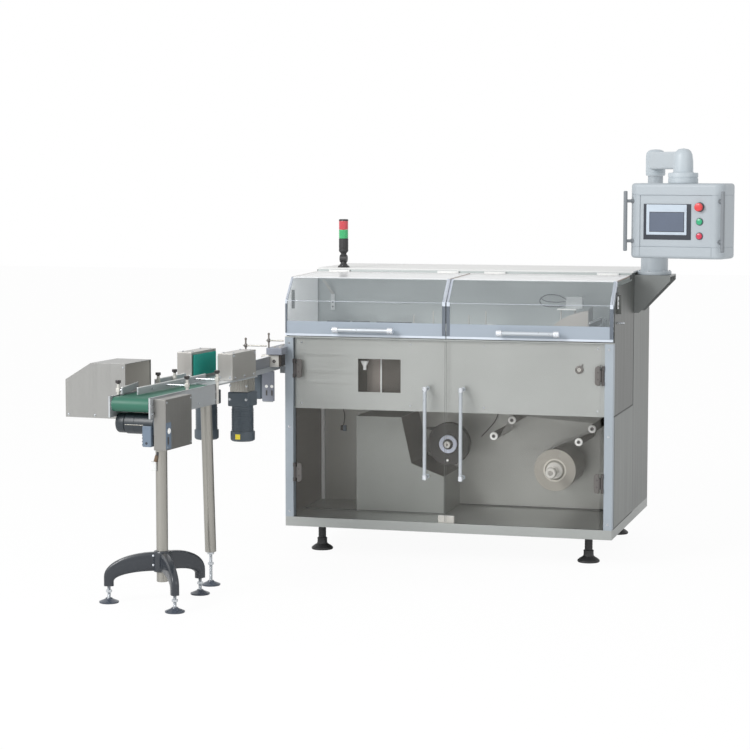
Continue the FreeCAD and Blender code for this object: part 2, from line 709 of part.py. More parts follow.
def film_strip(start, end):
    """A thin flat sheet between two points, as long as the film roll is wide."""
    dx, dz = end[0] - start[0], end[1] - start[1]
    length = math.hypot(dx, dz)
    nx, nz = -dz / length * FILM_THICKNESS / 2, dx / length * FILM_THICKNESS / 2
    profile = [(start[0] - nx, start[1] - nz), (end[0] - nx, end[1] - nz),
               (end[0] + nx, end[1] + nz), (start[0] + nx, start[1] + nz)]
    return prism_along_y(profile, FILM_FRONT_Y, FILM_FRONT_Y + FILM_LENGTH)


def film_web():
    """The film's runs from the roll over the guide rollers."""
    gap = FILM_THICKNESS / 2 + SEAT_GAP
    small = GUIDE_ROLLER_R + gap
    first, second, third, fourth = GUIDE_ROLLERS
    runs = [tangent_run((FILM_X, FILM_Z), FILM_R + gap, fourth, small, 1, 1),
            tangent_run(fourth, small, third, small, 1, -1),
            tangent_run(third, small, first, small, -1, -1),
            tangent_run(first, small, second, small, -1, 1)]
    return [film_strip(start, end) for start, end in runs]


def tape_reel():
    front = (REEL_X, REEL_FRONT_Y, REEL_Z)
    spool = tube(front, (REEL_X, REEL_FRONT_Y + REEL_WIDTH, REEL_Z), REEL_R, REEL_AXLE_R + PIN_CLEARANCE)
    nose = (REEL_X, REEL_FRONT_Y - REEL_RING_REACH, REEL_Z)
    ring = many_sided(nose, front, REEL_RING_R, 20).cut(many_sided(nose, front, REEL_RING_BORE, 20))
    return joined(spool, ring)


def build_film_path():
    node("film_roll", film_roll())
    node("film_shaft", film_shaft())
    for index, (x, z) in enumerate(GUIDE_ROLLERS, start=1):
        node("guide_roller_%d" % index, guide_roller(x, z))
    node("film_web", *film_web())
    node("tape_reel", tape_reel())


# Doors

def door_glass(x0, x1):
    half = GLASS_THICKNESS / 2
    return box(x0, x1, -half, half, PLINTH_TOP + RUN_GAP, TABLE_BOTTOM - RUN_GAP)


def door_clamp(axis_x, side, z0):
    """A clamp on the glass with a knuckle that turns on the post's pin."""
    half = DOOR_CLAMP_THICKNESS / 2
    z1 = z0 + DOOR_CLAMP_HEIGHT
    lug = (DOOR_CLAMP_HEIGHT - DOOR_KNUCKLE_HEIGHT) / 2
    outer = axis_x + side * DOOR_CLAMP_WIDTH
    past_lugs = axis_x + side * (math.hypot(DOOR_HINGE_OFFSET, DOOR_KNUCKLE_R) + LUG_CLEARANCE)
    plate = box(*sorted((past_lugs, outer)), -half, half, z0, z1)
    neck = box(*sorted((axis_x + side * DOOR_PIN_R, outer)), -half, half, z0 + lug, z1 - lug)
    reach = DOOR_CLAMP_WIDTH + DOOR_KNUCKLE_R
    slot = box(axis_x - reach, axis_x + reach, -GLASS_THICKNESS / 2, GLASS_THICKNESS / 2, z0, z1)
    knuckle = many_sided((axis_x, 0, z0 + lug), (axis_x, 0, z1 - lug), DOOR_KNUCKLE_R, 16)
    bore = rod((axis_x, 0, z0), (axis_x, 0, z1), DOOR_PIN_R + PIN_CLEARANCE)
    return joined(joined(plate, neck).cut(slot), knuckle).cut(bore)


def hinge_block(axis_x, side, z0):
    """Two lugs on the post with the pin between them."""
    z1 = z0 + DOOR_CLAMP_HEIGHT
    lug = (DOOR_CLAMP_HEIGHT - DOOR_KNUCKLE_HEIGHT) / 2 - SEAT_GAP
    xs = sorted((axis_x - side * DOOR_HINGE_OFFSET, axis_x))
    lugs = [box(*xs, -DOOR_KNUCKLE_R + 1, DOOR_KNUCKLE_R - 1, bottom, bottom + lug)
            for bottom in (z0, z1 - lug)]
    return joined(*lugs, rod((axis_x, 0, z0), (axis_x, 0, z1), DOOR_PIN_R))


def door_handle(side):
    x = MIDDLE_X - side * DOOR_HANDLE_FROM_GAP
    y = -GLASS_THICKNESS / 2 - DOOR_HANDLE_REACH
    top = DOOR_HANDLE_BOTTOM + DOOR_HANDLE_LENGTH
    return bar_handle((x, y, DOOR_HANDLE_BOTTOM), (x, y, top), DOOR_HANDLE_R,
                      (0, DOOR_HANDLE_REACH, 0), 2 * DOOR_HANDLE_R)


def build_doors():
    blocks = []
    for name, side in (("left", 1), ("right", -1)):
        edge = 0 if side > 0 else CABINET_WIDTH
        axis_x = edge + side * (POST_WIDTH + DOOR_HINGE_OFFSET)
        xs = sorted((axis_x + side * (DOOR_KNUCKLE_R + 1), MIDDLE_X - side * RUN_GAP / 2))
        heights = (DOOR_CLAMP_LOW, DOOR_CLAMP_HIGH)
        node("%s_door_glass" % name, door_glass(*xs))
        node("%s_door_fittings" % name, door_handle(side), *[door_clamp(axis_x, side, z) for z in heights])
        blocks += [hinge_block(axis_x, side, z) for z in heights]
    node("door_hinge_blocks", *blocks)
    lock_x = CABINET_WIDTH - LOCK_FROM_RIGHT
    lock = many_sided((lock_x, PANEL_SETBACK - LOCK_REACH, LOCK_Z), (lock_x, PANEL_SETBACK, LOCK_Z),
                      LOCK_R, 24)
    catch = box(MIDDLE_X - CATCH_WIDTH / 2, MIDDLE_X + CATCH_WIDTH / 2, CATCH_Y, CATCH_Y + CATCH_DEPTH,
                PLINTH_TOP, PLINTH_TOP + CATCH_HEIGHT)
    node("lock_and_catch", lock, catch)


# Covers

def cover_shell(x0, x1):
    """A bent acrylic sheet with a narrow cheek down each end."""
    outer = cover_profile(0)
    sheet = prism_along_x(outer + cover_profile(COVER_THICKNESS)[::-1], x0, x1)
    strip = outer + cover_profile(COVER_CHEEK)[::-1]
    ends = [prism_along_x(strip, x0, x0 + COVER_THICKNESS), prism_along_x(strip, x1 - COVER_THICKNESS, x1)]
    return joined(sheet, *ends)


def hinge_axis():
    """Depth and height of the line that the covers turn about."""
    return COVER_BACK_Y + COVER_KNUCKLE_R, COVER_BACK_Z + COVER_KNUCKLE_R


def cover_hinge(x):
    """A leaf on the cover with its knuckle."""
    y, z = hinge_axis()
    x0, x1 = x - COVER_HINGE_LENGTH / 2, x + COVER_HINGE_LENGTH / 2
    front_y = y - COVER_LEAF
    fall = (COVER_BACK_Y - front_y) * COVER_TOP_RISE / (COVER_BACK_Y - COVER_SLOPE_RUN)
    front_z = COVER_BACK_Z - fall
    leaf = prism_along_x([(front_y, front_z), (COVER_BACK_Y, COVER_BACK_Z), (y, COVER_BACK_Z),
                          (y, COVER_BACK_Z + COVER_LEAF_THICKNESS),
                          (front_y, front_z + COVER_LEAF_THICKNESS)], x0, x1)
    knuckle = many_sided((x0, y, z), (x1, y, z), COVER_KNUCKLE_R, 12)
    return joined(leaf, knuckle).cut(rod((x0, y, z), (x1, y, z), COVER_PIN_R + PIN_CLEARANCE))


def hinge_bracket(x):
    """Two lugs on the beam that hold the hinge pin."""
    y, z = hinge_axis()
    half = COVER_HINGE_LENGTH / 2 + SEAT_GAP
    lugs = [box(x0, x0 + 2 * COVER_KNUCKLE_R, y - COVER_KNUCKLE_R, UPPER_WALL_Y, z - COVER_KNUCKLE_R,
                ROOF_BOTTOM) for x0 in (x - half - 2 * COVER_KNUCKLE_R, x + half)]
    pin = rod((x - half - COVER_KNUCKLE_R, y, z), (x + half + COVER_KNUCKLE_R, y, z), COVER_PIN_R)
    return joined(*lugs, pin)


def cover_handle(start_x):
    """A bar along the cover's front with a thicker sleeve at each end."""
    y, z = -COVER_HANDLE_REACH, COVER_BOTTOM + COVER_HANDLE_RISE
    end_x = start_x + COVER_HANDLE_LENGTH
    bar = bar_handle((start_x, y, z), (end_x, y, z), COVER_HANDLE_R, (0, COVER_HANDLE_REACH, 0),
                     COVER_HANDLE_SLEEVE / 2)
    sleeves = [many_sided((x, y, z), (x + COVER_HANDLE_SLEEVE, y, z), COVER_HANDLE_R * 1.25, 16)
               for x in (start_x, end_x - COVER_HANDLE_SLEEVE)]
    return joined(bar, *sleeves)


def build_covers():
    left = (RUN_GAP / 2, MIDDLE_X - RUN_GAP / 2)
    right = (MIDDLE_X + RUN_GAP / 2, CABINET_WIDTH - RUN_GAP / 2)
    brackets = []
    for name, (x0, x1), start_x in (("left", left, LEFT_COVER_HANDLE),
                                    ("right", right, MIDDLE_X + RIGHT_COVER_HANDLE)):
        centres = (x0 + COVER_HINGE_INSET, x1 - COVER_HINGE_INSET)
        node("%s_cover" % name, cover_shell(x0, x1))
        node("%s_cover_fittings" % name, cover_handle(start_x), *[cover_hinge(x) for x in centres])
        brackets += [hinge_bracket(x) for x in centres]
    node("cover_hinge_brackets", *brackets)


# Signal tower

def build_tower():
    foot_top = ROOF_TOP + TOWER_PLATE_HEIGHT
    body_bottom = ROOF_TOP + TOWER_BASE_HEIGHT
    green_bottom = body_bottom + TOWER_BODY_HEIGHT
    red_bottom = green_bottom + TOWER_LENS_HEIGHT
    cap_bottom = red_bottom + TOWER_LENS_HEIGHT
    cap_top = cap_bottom + TOWER_CAP_HEIGHT
    neck = TOWER_NECK_R
    stem = faceted([(TOWER_PLATE_R, ROOF_TOP), (TOWER_PLATE_R, foot_top), (neck, foot_top + neck),
                    (neck, body_bottom - neck), (TOWER_R, body_bottom), (TOWER_R, green_bottom)],
                   TOWER_X, TOWER_Y, 24)
    cap = faceted([(TOWER_R, cap_bottom), (TOWER_R, cap_top - 3), (TOWER_R - 4, cap_top)],
                  TOWER_X, TOWER_Y, 24)
    node("signal_tower", stem, cap)
    for name, bottom, top in (("tower_green_lens", green_bottom, red_bottom),
                              ("tower_red_lens", red_bottom, cap_bottom)):
        node(name, many_sided((TOWER_X, TOWER_Y, bottom), (TOWER_X, TOWER_Y, top), TOWER_R, 24))


# Control panel

def elbow_point():
    turn = math.radians(ARM_ANGLE)
    return COLUMN_X + ARM_REACH * math.cos(turn), COLUMN_Y + ARM_REACH * math.sin(turn)


def panel_bracket():
    """The gusset on the side wall that carries the arm's column."""
    x0, x1 = CABINET_WIDTH, CABINET_WIDTH + BRACKET_REACH
    y0, y1 = FRONT_DEPTH, FRONT_DEPTH + BRACKET_DEPTH
    under, foot = BRACKET_TOP - BRACKET_TOP_THICKNESS, BRACKET_TOP - BRACKET_DROP
    top = box(x0, x1, y0, y1, under, BRACKET_TOP)
    profile = [(x0, under), (x1, under), (x1, under - BRACKET_NOSE), (x0 + BRACKET_FOOT, foot), (x0, foot)]
    ribs = [prism_along_y(profile, y, y + BRACKET_SHEET) for y in (y0, y1 - BRACKET_SHEET)]
    wall = box(x0, x0 + BRACKET_SHEET, y0, y1, foot, under)
    return joined(top, wall, *ribs)


def scaled(profile, radius, bottom, height):
    """A profile given as fractions of a radius and a height, in millimetres."""
    return [(radius * wide, bottom + height * up) for wide, up in profile]


def arm_column():
    """The column with its flange and the round base above it."""
    flange_top, base_top = BRACKET_TOP + COLUMN_FLANGE_HEIGHT, BRACKET_TOP + COLUMN_BASE_HEIGHT
    base = faceted([(COLUMN_FLANGE_R, BRACKET_TOP), (COLUMN_FLANGE_R, flange_top),
                    (COLUMN_BASE_R, flange_top), (COLUMN_BASE_R, base_top)], COLUMN_X, COLUMN_Y, 24)
    post = rod((COLUMN_X, COLUMN_Y, flange_top), (COLUMN_X, COLUMN_Y, COLUMN_TOP - ELBOW_HEIGHT), COLUMN_R)
    return joined(base, post)


def swing_arm():
    """The arm from the column's elbow to the dome over the panel."""
    x, y = elbow_point()
    elbow_bottom = COLUMN_TOP - ELBOW_HEIGHT + SEAT_GAP
    elbow = faceted(scaled(ELBOW_PROFILE, COLUMN_COLLAR_R, elbow_bottom, COLUMN_TOP - elbow_bottom),
                    COLUMN_X, COLUMN_Y, 20)
    beam_top = COLUMN_TOP - ARM_TOP_DROP
    beam = box(COLUMN_X, COLUMN_X + ARM_REACH, COLUMN_Y - ARM_WIDTH / 2, COLUMN_Y + ARM_WIDTH / 2,
               beam_top - ARM_HEIGHT, beam_top)
    ring_bottom, ring_top = PANEL_TOP_Z + SEAT_GAP, PANEL_TOP_Z + DOME_RING_HEIGHT
    ring = rod((x, y, ring_bottom), (x, y, ring_top), DOME_RING_R)
    dome = faceted(scaled(DOME_PROFILE, DOME_R, ring_top, COLUMN_TOP - ring_top), x, y, 20)
    return joined(elbow, turned_about(beam, COLUMN_X, COLUMN_Y, ARM_ANGLE), ring, dome)


def panel_local(shape):
    """Place a piece drawn about the panel's own upright axis, front towards -Y."""
    x, y = elbow_point()
    copy = shape.copy()
    copy.translate(Vector(x, y, 0))
    return turned_about(copy, x, y, PANEL_TURN)


def hmi_box():
    """The housing, rounded at its upright corners, with a shallow recess for the face."""
    half, deep = PANEL_WIDTH / 2, PANEL_DEPTH / 2
    shell = box(-half, half, -deep, deep, PANEL_BOTTOM_Z, PANEL_TOP_Z)
    upright = [edge for edge in shell.Edges if abs(edge.tangentAt(edge.FirstParameter).z) > 0.9]
    shell = shell.makeFillet(PANEL_CORNER_R, upright)
    rim = [edge for edge in shell.Edges
           if edge.BoundBox.ZLength < SHEET and (edge.BoundBox.ZMin < PANEL_BOTTOM_Z + SHEET
                                                 or edge.BoundBox.ZMax > PANEL_TOP_Z - SHEET)]
    shell = shell.makeChamfer(PANEL_EDGE, rim)
    recess = box(-PANEL_FACE_WIDTH / 2, PANEL_FACE_WIDTH / 2, -deep, -deep + PANEL_FACE_RECESS,
                 PANEL_BOTTOM_Z + PANEL_FACE_MARGIN, PANEL_TOP_Z - PANEL_FACE_MARGIN)
    return shell.cut(recess)


def hmi_screen(face):
    """The dark plate on the face with the display's frame on it."""
    x0, z0 = SCREEN_LEFT - PANEL_WIDTH / 2, PANEL_BOTTOM_Z + SCREEN_UP
    z1 = z0 + SCREEN_HEIGHT
    plate = box(x0, x0 + SCREEN_WIDTH, face - SCREEN_PLATE, face, z0, z1)
    left, top = x0 + DISPLAY_INSET_LEFT, z1 - DISPLAY_INSET_TOP
    display = box(left, left + DISPLAY_WIDTH, face - SCREEN_PLATE - DISPLAY_REACH, face - SCREEN_PLATE,
                  top - DISPLAY_HEIGHT, top)
    return joined(plate, display)


def panel_button(face, up, radius, reach):
    z = PANEL_BOTTOM_Z + up
    return many_sided((BUTTON_FROM_MIDDLE, face - reach, z), (BUTTON_FROM_MIDDLE, face, z), radius, 20)


def panel_handle(side):
    """An upright bar whose legs run in to the housing's rounded corner."""
    corner_x = PANEL_WIDTH / 2 - PANEL_CORNER_R
    corner_y = PANEL_CORNER_R - PANEL_DEPTH / 2
    x, y, z = side * PANEL_HANDLE_X, -PANEL_HANDLE_Y, PANEL_BOTTOM_Z + PANEL_HANDLE_UP
    reach = (side * corner_x - x, corner_y - y, 0)
    bar = bar_handle((x, y, z), (x, y, z + PANEL_HANDLE_LENGTH), PANEL_HANDLE_R, reach, PANEL_HANDLE_LEG)
    return bar.cut(hmi_box())


def build_control_panel():
    face = PANEL_FACE_RECESS - PANEL_DEPTH / 2
    buttons = [panel_button(face, STOP_BUTTON_UP, STOP_BUTTON_R, STOP_BUTTON_REACH),
               panel_button(face, START_BUTTON_UP, BUTTON_R, BUTTON_REACH),
               panel_button(face, HALT_BUTTON_UP, BUTTON_R, BUTTON_REACH)]
    node("panel_bracket", panel_bracket())
    node("arm_column", arm_column())
    node("swing_arm", swing_arm())
    node("hmi_box", panel_local(hmi_box()))
    node("hmi_screen", panel_local(hmi_screen(face)))
    node("hmi_buttons", *[panel_local(button) for button in buttons])
    node("hmi_handles", *[panel_local(panel_handle(side)) for side in (-1, 1)])


# Infeed conveyor

def infeed_turned(shape):
    """Turn a piece that is drawn straight into the infeed's own direction."""
    return turned_about(shape, CONVEYOR_X, STAND_Y, INFEED_TURN)


def belt_ends():
    """Where the two end rollers turn: near and far Y, and their height."""
    near = CONVEYOR_NEAR_Y + BELT_END_GAP + BELT_ROLLER_R
    far = CONVEYOR_FAR_Y - BELT_END_GAP - BELT_ROLLER_R
    return near, far, BELT_TOP - BELT_ROLLER_R


def conveyor_frame():
    """Side plates, cross ties, the bed under the belt and the two end rollers."""
    x0, x1 = CONVEYOR_X - CONVEYOR_WIDTH / 2, CONVEYOR_X + CONVEYOR_WIDTH / 2
    sides = [box(x, x + CONVEYOR_SIDE_SHEET, CONVEYOR_NEAR_Y, CONVEYOR_FAR_Y, CONVEYOR_BOTTOM, CONVEYOR_TOP)
             for x in (x0, x1 - CONVEYOR_SIDE_SHEET)]
    tie_ys = (STAND_Y - STAND_HEAD_LENGTH / 2, STAND_Y + STAND_HEAD_LENGTH / 2 - CONVEYOR_TIE,
              CONVEYOR_FAR_Y - 2 * CONVEYOR_TIE)
    ties = [box(x0, x1, y, y + CONVEYOR_TIE, CONVEYOR_BOTTOM, CONVEYOR_BOTTOM + CONVEYOR_SIDE_SHEET)
            for y in tie_ys]
    gap = BELT_THICKNESS + SEAT_GAP
    near, far, middle = belt_ends()
    bed = box(x0, x1, near + BELT_ROLLER_R, far - BELT_ROLLER_R,
              BELT_TOP - gap - BED_THICKNESS, BELT_TOP - gap)
    rollers = [many_sided((x0, y, middle), (x1, y, middle), BELT_ROLLER_R - gap, 20) for y in (near, far)]
    return joined(*sides, *ties, bed, *rollers)


def belt_outline(radius):
    """The closed outline round both end rollers, as depth and height points."""
    near, far, middle = belt_ends()
    points = []
    for end, start in ((near, 90), (far, 270)):
        for step in range(11):
            turn = math.radians(start + 18 * step)
            points.append((end + radius * math.cos(turn), middle + radius * math.sin(turn)))
    return points


def conveyor_belt():
    """One closed loop round the two end rollers and the bed between them."""
    x0, x1 = CONVEYOR_X - BELT_WIDTH / 2, CONVEYOR_X + BELT_WIDTH / 2
    outside = prism_along_x(belt_outline(BELT_ROLLER_R), x0, x1)
    return outside.cut(prism_along_x(belt_outline(BELT_ROLLER_R - BELT_THICKNESS), x0, x1))


def drive_cover():
    x0, y0 = CONVEYOR_X + CONVEYOR_WIDTH / 2, CONVEYOR_NEAR_Y + DRIVE_COVER_START
    return box(x0, x0 + DRIVE_COVER_WIDTH, y0, y0 + DRIVE_COVER_LENGTH, DRIVE_COVER_BOTTOM, DRIVE_COVER_TOP)


def drive_motor():
    """The motor across the frame, with its end cap, flange and terminal box."""
    outer = CONVEYOR_X + CONVEYOR_WIDTH / 2
    inner = outer - CONVEYOR_SIDE_SHEET
    y, end = CONVEYOR_NEAR_Y + MOTOR_START, inner - MOTOR_LENGTH
    body = many_sided((end + MOTOR_CAP_LENGTH, y, MOTOR_Z), (inner, y, MOTOR_Z), MOTOR_R, 24)
    cap = many_sided((end, y, MOTOR_Z), (end + MOTOR_CAP_LENGTH, y, MOTOR_Z), MOTOR_CAP_R, 24)
    flange = box(inner, outer, y - MOTOR_CAP_R, y + MOTOR_CAP_R, MOTOR_Z - MOTOR_CAP_R, CONVEYOR_BOTTOM)
    terminal = box(inner - TERMINAL_WIDTH, inner, y - TERMINAL_DEPTH, y, TERMINAL_BOTTOM, MOTOR_Z)
    return joined(body, cap, flange, terminal)


def hood():
    """A sheet box beside the belt, open towards it, with one sloped upper edge."""
    x1 = CONVEYOR_X - CONVEYOR_WIDTH / 2
    x0 = x1 - HOOD_WIDTH
    y0 = CONVEYOR_NEAR_Y + HOOD_START
    y1 = y0 + HOOD_LENGTH
    outline = [(x0, HOOD_BOTTOM), (x1, HOOD_BOTTOM), (x1, HOOD_TOP), (x0 + HOOD_CHAMFER_X, HOOD_TOP),
               (x0, HOOD_TOP - HOOD_CHAMFER_Z)]
    lean = SHEET * math.tan(math.atan2(HOOD_CHAMFER_Z, HOOD_CHAMFER_X) / 2)
    inner = [(x0 + SHEET, HOOD_BOTTOM + SHEET), (x1, HOOD_BOTTOM + SHEET), (x1, HOOD_TOP - SHEET),
             (x0 + HOOD_CHAMFER_X + lean, HOOD_TOP - SHEET), (x0 + SHEET, HOOD_TOP - HOOD_CHAMFER_Z - lean)]
    return prism_along_y(outline, y0, y1).cut(prism_along_y(inner, y0 + SHEET, y1 - SHEET))


def clamp_post(x, y, rail_x, bottom=CONVEYOR_TOP):
    """A post whose cross rod holds a rail, with its knob on top."""
    top = CONVEYOR_TOP + CLAMP_POST_HEIGHT
    rod_z = CONVEYOR_TOP + CLAMP_ROD_UP
    return joined(many_sided((x, y, bottom), (x, y, top), CLAMP_POST_R),
                  many_sided((x, y, rod_z), (rail_x, y, rod_z), CLAMP_ROD_R, 8),
                  many_sided((x, y, top), (x, y, top + KNOB_HEIGHT), KNOB_R))


def guide_rail(near, far):
    """An upright strip over the belt between two points given as X and Y."""
    z0 = BELT_TOP + RUN_GAP
    along = Vector(far[0] - near[0], far[1] - near[1], 0)
    half = Vector(along.y, -along.x, 0).normalize() * (RAIL_THICKNESS / 2)
    first, last = Vector(near[0], near[1], z0), Vector(far[0], far[1], z0)
    return face_of([first + half, last + half, last - half, first - half]).extrude(Vector(0, 0, RAIL_HEIGHT))


def guide_rails():
    """Three rails over the belt on their clamp posts, the near left one flared outwards."""
    left_x = CONVEYOR_X - CONVEYOR_WIDTH / 2 + CONVEYOR_SIDE_SHEET / 2
    right_x = CONVEYOR_X + CONVEYOR_WIDTH / 2 - CONVEYOR_SIDE_SHEET / 2
    far_y = STAND_Y + RAIL_FAR
    near_y, flare_y = CONVEYOR_NEAR_Y, CONVEYOR_NEAR_Y + FLARE_RAIL_START
    flare = guide_rail((CONVEYOR_X - FLARE_RAIL_NEAR_OFFSET, flare_y),
                       (CONVEYOR_X - FLARE_RAIL_FAR_OFFSET, flare_y + FLARE_RAIL_LENGTH))
    left_rail, right_rail = CONVEYOR_X - LEFT_RAIL_OFFSET, CONVEYOR_X - RIGHT_RAIL_OFFSET
    left = guide_rail((left_rail, near_y + LEFT_RAIL_START), (left_rail, far_y))
    right = guide_rail((right_rail, near_y + RIGHT_RAIL_START), (right_rail, far_y))
    end_x = CONVEYOR_X + CONVEYOR_WIDTH / 2 + CLAMP_POST_R
    flare_post = clamp_post(left_x, flare_y + CLAMP_POST_R, CONVEYOR_X - FLARE_RAIL_NEAR_OFFSET)
    left_posts = [clamp_post(left_x, near_y + up, left_rail) for up in (LEFT_POST_NEAR, LEFT_POST_FAR)]
    right_post = clamp_post(right_x, near_y + RIGHT_POST, right_rail)
    end_post = clamp_post(end_x, CONVEYOR_FAR_Y - 2 * CLAMP_POST_R, right_rail, CONVEYOR_BOTTOM)
    return [joined(flare, flare_post), joined(left, *left_posts), joined(right, right_post, end_post)]


def build_conveyor():
    node("conveyor_frame", infeed_turned(conveyor_frame()))
    node("conveyor_belt", infeed_turned(conveyor_belt()))
    node("drive_cover", infeed_turned(drive_cover()))
    node("drive_motor", infeed_turned(drive_motor()))
    node("infeed_hood", infeed_turned(hood()))
    node("guide_rails", *[infeed_turned(rail) for rail in guide_rails()])


# Side belt gates

def gate_centre():
    return CONVEYOR_X + GATE_CENTRE_OFFSET


def gate_motor(x):
    """A gearbox under the gates' plate with its motor hanging below."""
    y1 = GATE_FAR_Y - GEARBOX_SETBACK
    y = y1 - GEARBOX_LENGTH / 2
    half, wide = GEARBOX_WIDTH / 2, GATE_MOTOR_R
    gearbox = box(x - half, x + half, y1 - GEARBOX_LENGTH, y1, GEARBOX_BOTTOM, BELT_TOP - GATE_PLATE)
    flange = box(x - wide, x + wide, y - wide, y + wide, GEAR_FLANGE_BOTTOM, GEARBOX_BOTTOM)
    body = many_sided((x, y, GATE_MOTOR_CAP_TOP), (x, y, GEAR_FLANGE_BOTTOM), GATE_MOTOR_R, 20)
    cap = many_sided((x, y, GATE_MOTOR_BOTTOM), (x, y, GATE_MOTOR_CAP_TOP), GATE_MOTOR_CAP_R, 20)
    return joined(gearbox, flange, body, cap)


def build_gates():
    boxes, belts, motors = [], [], []
    for side in (-1, 1):
        inner = gate_centre() + side * GATE_GAP / 2
        outer = inner + side * GATE_WIDTH
        belt = inner - side * GATE_BELT_INSET
        boxes.append(box(*sorted((inner, outer)), GATE_NEAR_Y, GATE_FAR_Y, BELT_TOP, GATE_TOP))
        margin = GATE_BELT_MARGIN
        belts.append(box(*sorted((inner, belt)), GATE_NEAR_Y + margin, GATE_FAR_Y - margin,
                         BELT_TOP + margin, GATE_TOP - margin))
        motors.append(gate_motor((inner + outer) / 2 - side * GEARBOX_INWARD))
    small_x = BRIDGE_X - 1
    small = box(small_x - SMALL_MOTOR_WIDTH, small_x, -SMALL_MOTOR_DEPTH, 0, SMALL_MOTOR_BOTTOM,
                BELT_TOP - BRIDGE_DEPTH)
    node("gate_boxes", *[infeed_turned(case) for case in boxes])
    node("gate_belts", *[infeed_turned(belt) for belt in belts])
    node("gate_motors", *[infeed_turned(motor) for motor in motors], small)


# Bridge

def infeed_bridge():
    """The gates' plate, and the bed that runs on from it to the cabinet."""
    half = GATE_GAP / 2 + GATE_WIDTH
    plate = box(gate_centre() - half, gate_centre() + half, CONVEYOR_FAR_Y, GATE_FAR_Y + 2 * GATE_PLATE,
                BELT_TOP - GATE_PLATE, BELT_TOP)
    x0, x1 = BRIDGE_X - BRIDGE_WIDTH / 2, BRIDGE_X + BRIDGE_WIDTH / 2
    bottom = BELT_TOP - BRIDGE_DEPTH
    bed = box(x0, x1, BRIDGE_START_Y, BRIDGE_FAR_Y, bottom, BELT_TOP)
    brackets = [box(x1, 0, y, y + BRIDGE_BRACKET, BELT_TOP - BRIDGE_BRACKET_DROP, BELT_TOP - GATE_PLATE)
                for y in (2 * BRIDGE_BRACKET, BRIDGE_FAR_Y - 2 * BRIDGE_BRACKET)]
    skirt = box(x1 - SHEET - PLATE_WIDTH, x1 - SHEET, PLATE_Y, PLATE_Y + SHEET, PLATE_BOTTOM, bottom)
    return joined(infeed_turned(plate), bed, skirt, *brackets)


def stud(x, y):
    top = GUIDE_BLOCK_BOTTOM + GUIDE_BLOCK_HEIGHT
    rod_z = top + CROSS_ROD_UP
    return joined(many_sided((x, y, top), (x, y, top + STUD_HEIGHT), STUD_R, 8),
                  many_sided((x, y, rod_z - STUD_CLAMP_R), (x, y, rod_z + STUD_CLAMP_R), STUD_CLAMP_R))


def bridge_guides():
    """The rail and bearing block on the bridge, and the block that carries the cross rod."""
    x1 = BRIDGE_X + BRIDGE_WIDTH / 2
    block_top = GUIDE_BLOCK_BOTTOM + GUIDE_BLOCK_HEIGHT
    rail = box(x1 - SIDE_RAIL_WIDTH, x1, BRIDGE_START_Y + SIDE_RAIL_WIDTH, SIDE_RAIL_FAR_Y, BELT_TOP,
               BELT_TOP + SIDE_RAIL_HEIGHT)
    bearing = box(x1 - BEARING_BLOCK_WIDTH, x1, BEARING_BLOCK_Y, BEARING_BLOCK_Y + BEARING_BLOCK_LENGTH,
                  BELT_TOP, BELT_TOP + BEARING_BLOCK_HEIGHT)
    block = box(-GUIDE_BLOCK_WIDTH, 0, GUIDE_BLOCK_Y, GUIDE_BLOCK_Y + GUIDE_BLOCK_LENGTH, GUIDE_BLOCK_BOTTOM,
                block_top)
    stud_x, stud_y = -GUIDE_BLOCK_WIDTH / 2, GUIDE_BLOCK_Y + STUD_CLAMP_R
    rod_z = block_top + CROSS_ROD_UP
    cross = many_sided((stud_x, stud_y, rod_z), (stud_x - CROSS_ROD_REACH, stud_y, rod_z), STUD_R, 8)
    return [rail, bearing, joined(block, stud(stud_x, stud_y), cross, stud(stud_x - CROSS_ROD_REACH, stud_y))]


def build_bridge():
    node("infeed_bridge", infeed_bridge())
    node("bridge_guides", *bridge_guides())


# Stands

def tripod_arm():
    """One arm, drawn along +X from the hub's axis, that curves down to its foot."""
    top = TRIPOD_HUB_BOTTOM + TRIPOD_HUB_HEIGHT
    end = TRIPOD_RADIUS + TRIPOD_ARM_END
    foot = end - TRIPOD_ARM_FOOT
    tip = TRIPOD_ARM_BOTTOM + TRIPOD_ARM_END
    steps = [index / TRIPOD_ARM_STEPS for index in range(TRIPOD_ARM_STEPS + 1)]
    upper = [(STAND_X + end * t, top - (top - tip) * t ** 2.2) for t in steps]
    lower = [(STAND_X + foot * t, TRIPOD_HUB_BOTTOM - (TRIPOD_HUB_BOTTOM - TRIPOD_ARM_BOTTOM) * t ** 2)
             for t in steps]
    profile = upper + [(STAND_X + end, TRIPOD_ARM_BOTTOM)] + lower[::-1]
    return prism_along_y(profile, STAND_Y - TRIPOD_ARM_WIDTH / 2, STAND_Y + TRIPOD_ARM_WIDTH / 2)


def tripod_base():
    """A moulded hub on the stand's tube with three arms."""
    top = TRIPOD_HUB_BOTTOM + TRIPOD_HUB_HEIGHT
    hub = many_sided((STAND_X, STAND_Y, TRIPOD_HUB_BOTTOM), (STAND_X, STAND_Y, top), TRIPOD_HUB_R, 24)
    arms = [turned_about(tripod_arm(), STAND_X, STAND_Y, angle) for angle in TRIPOD_ANGLES]
    bore = rod((STAND_X, STAND_Y, 0), (STAND_X, STAND_Y, 2 * top), STAND_TUBE_R)
    return joined(hub, *arms).cut(bore)


def stand_foot(x, y, height):
    """A pad on a ball and a threaded stem with its nut, up to the piece it carries."""
    nut, stem = STAND_PAD_R * 0.34, STAND_PAD_R * 0.17
    return faceted([(STAND_PAD_R, 0), (STAND_PAD_R, 8), (nut, 20), (stem, 22), (stem, height * 0.6),
                    (nut, height * 0.6), (nut, height * 0.75), (stem, height * 0.75), (stem, height)],
                   x, y, 12)


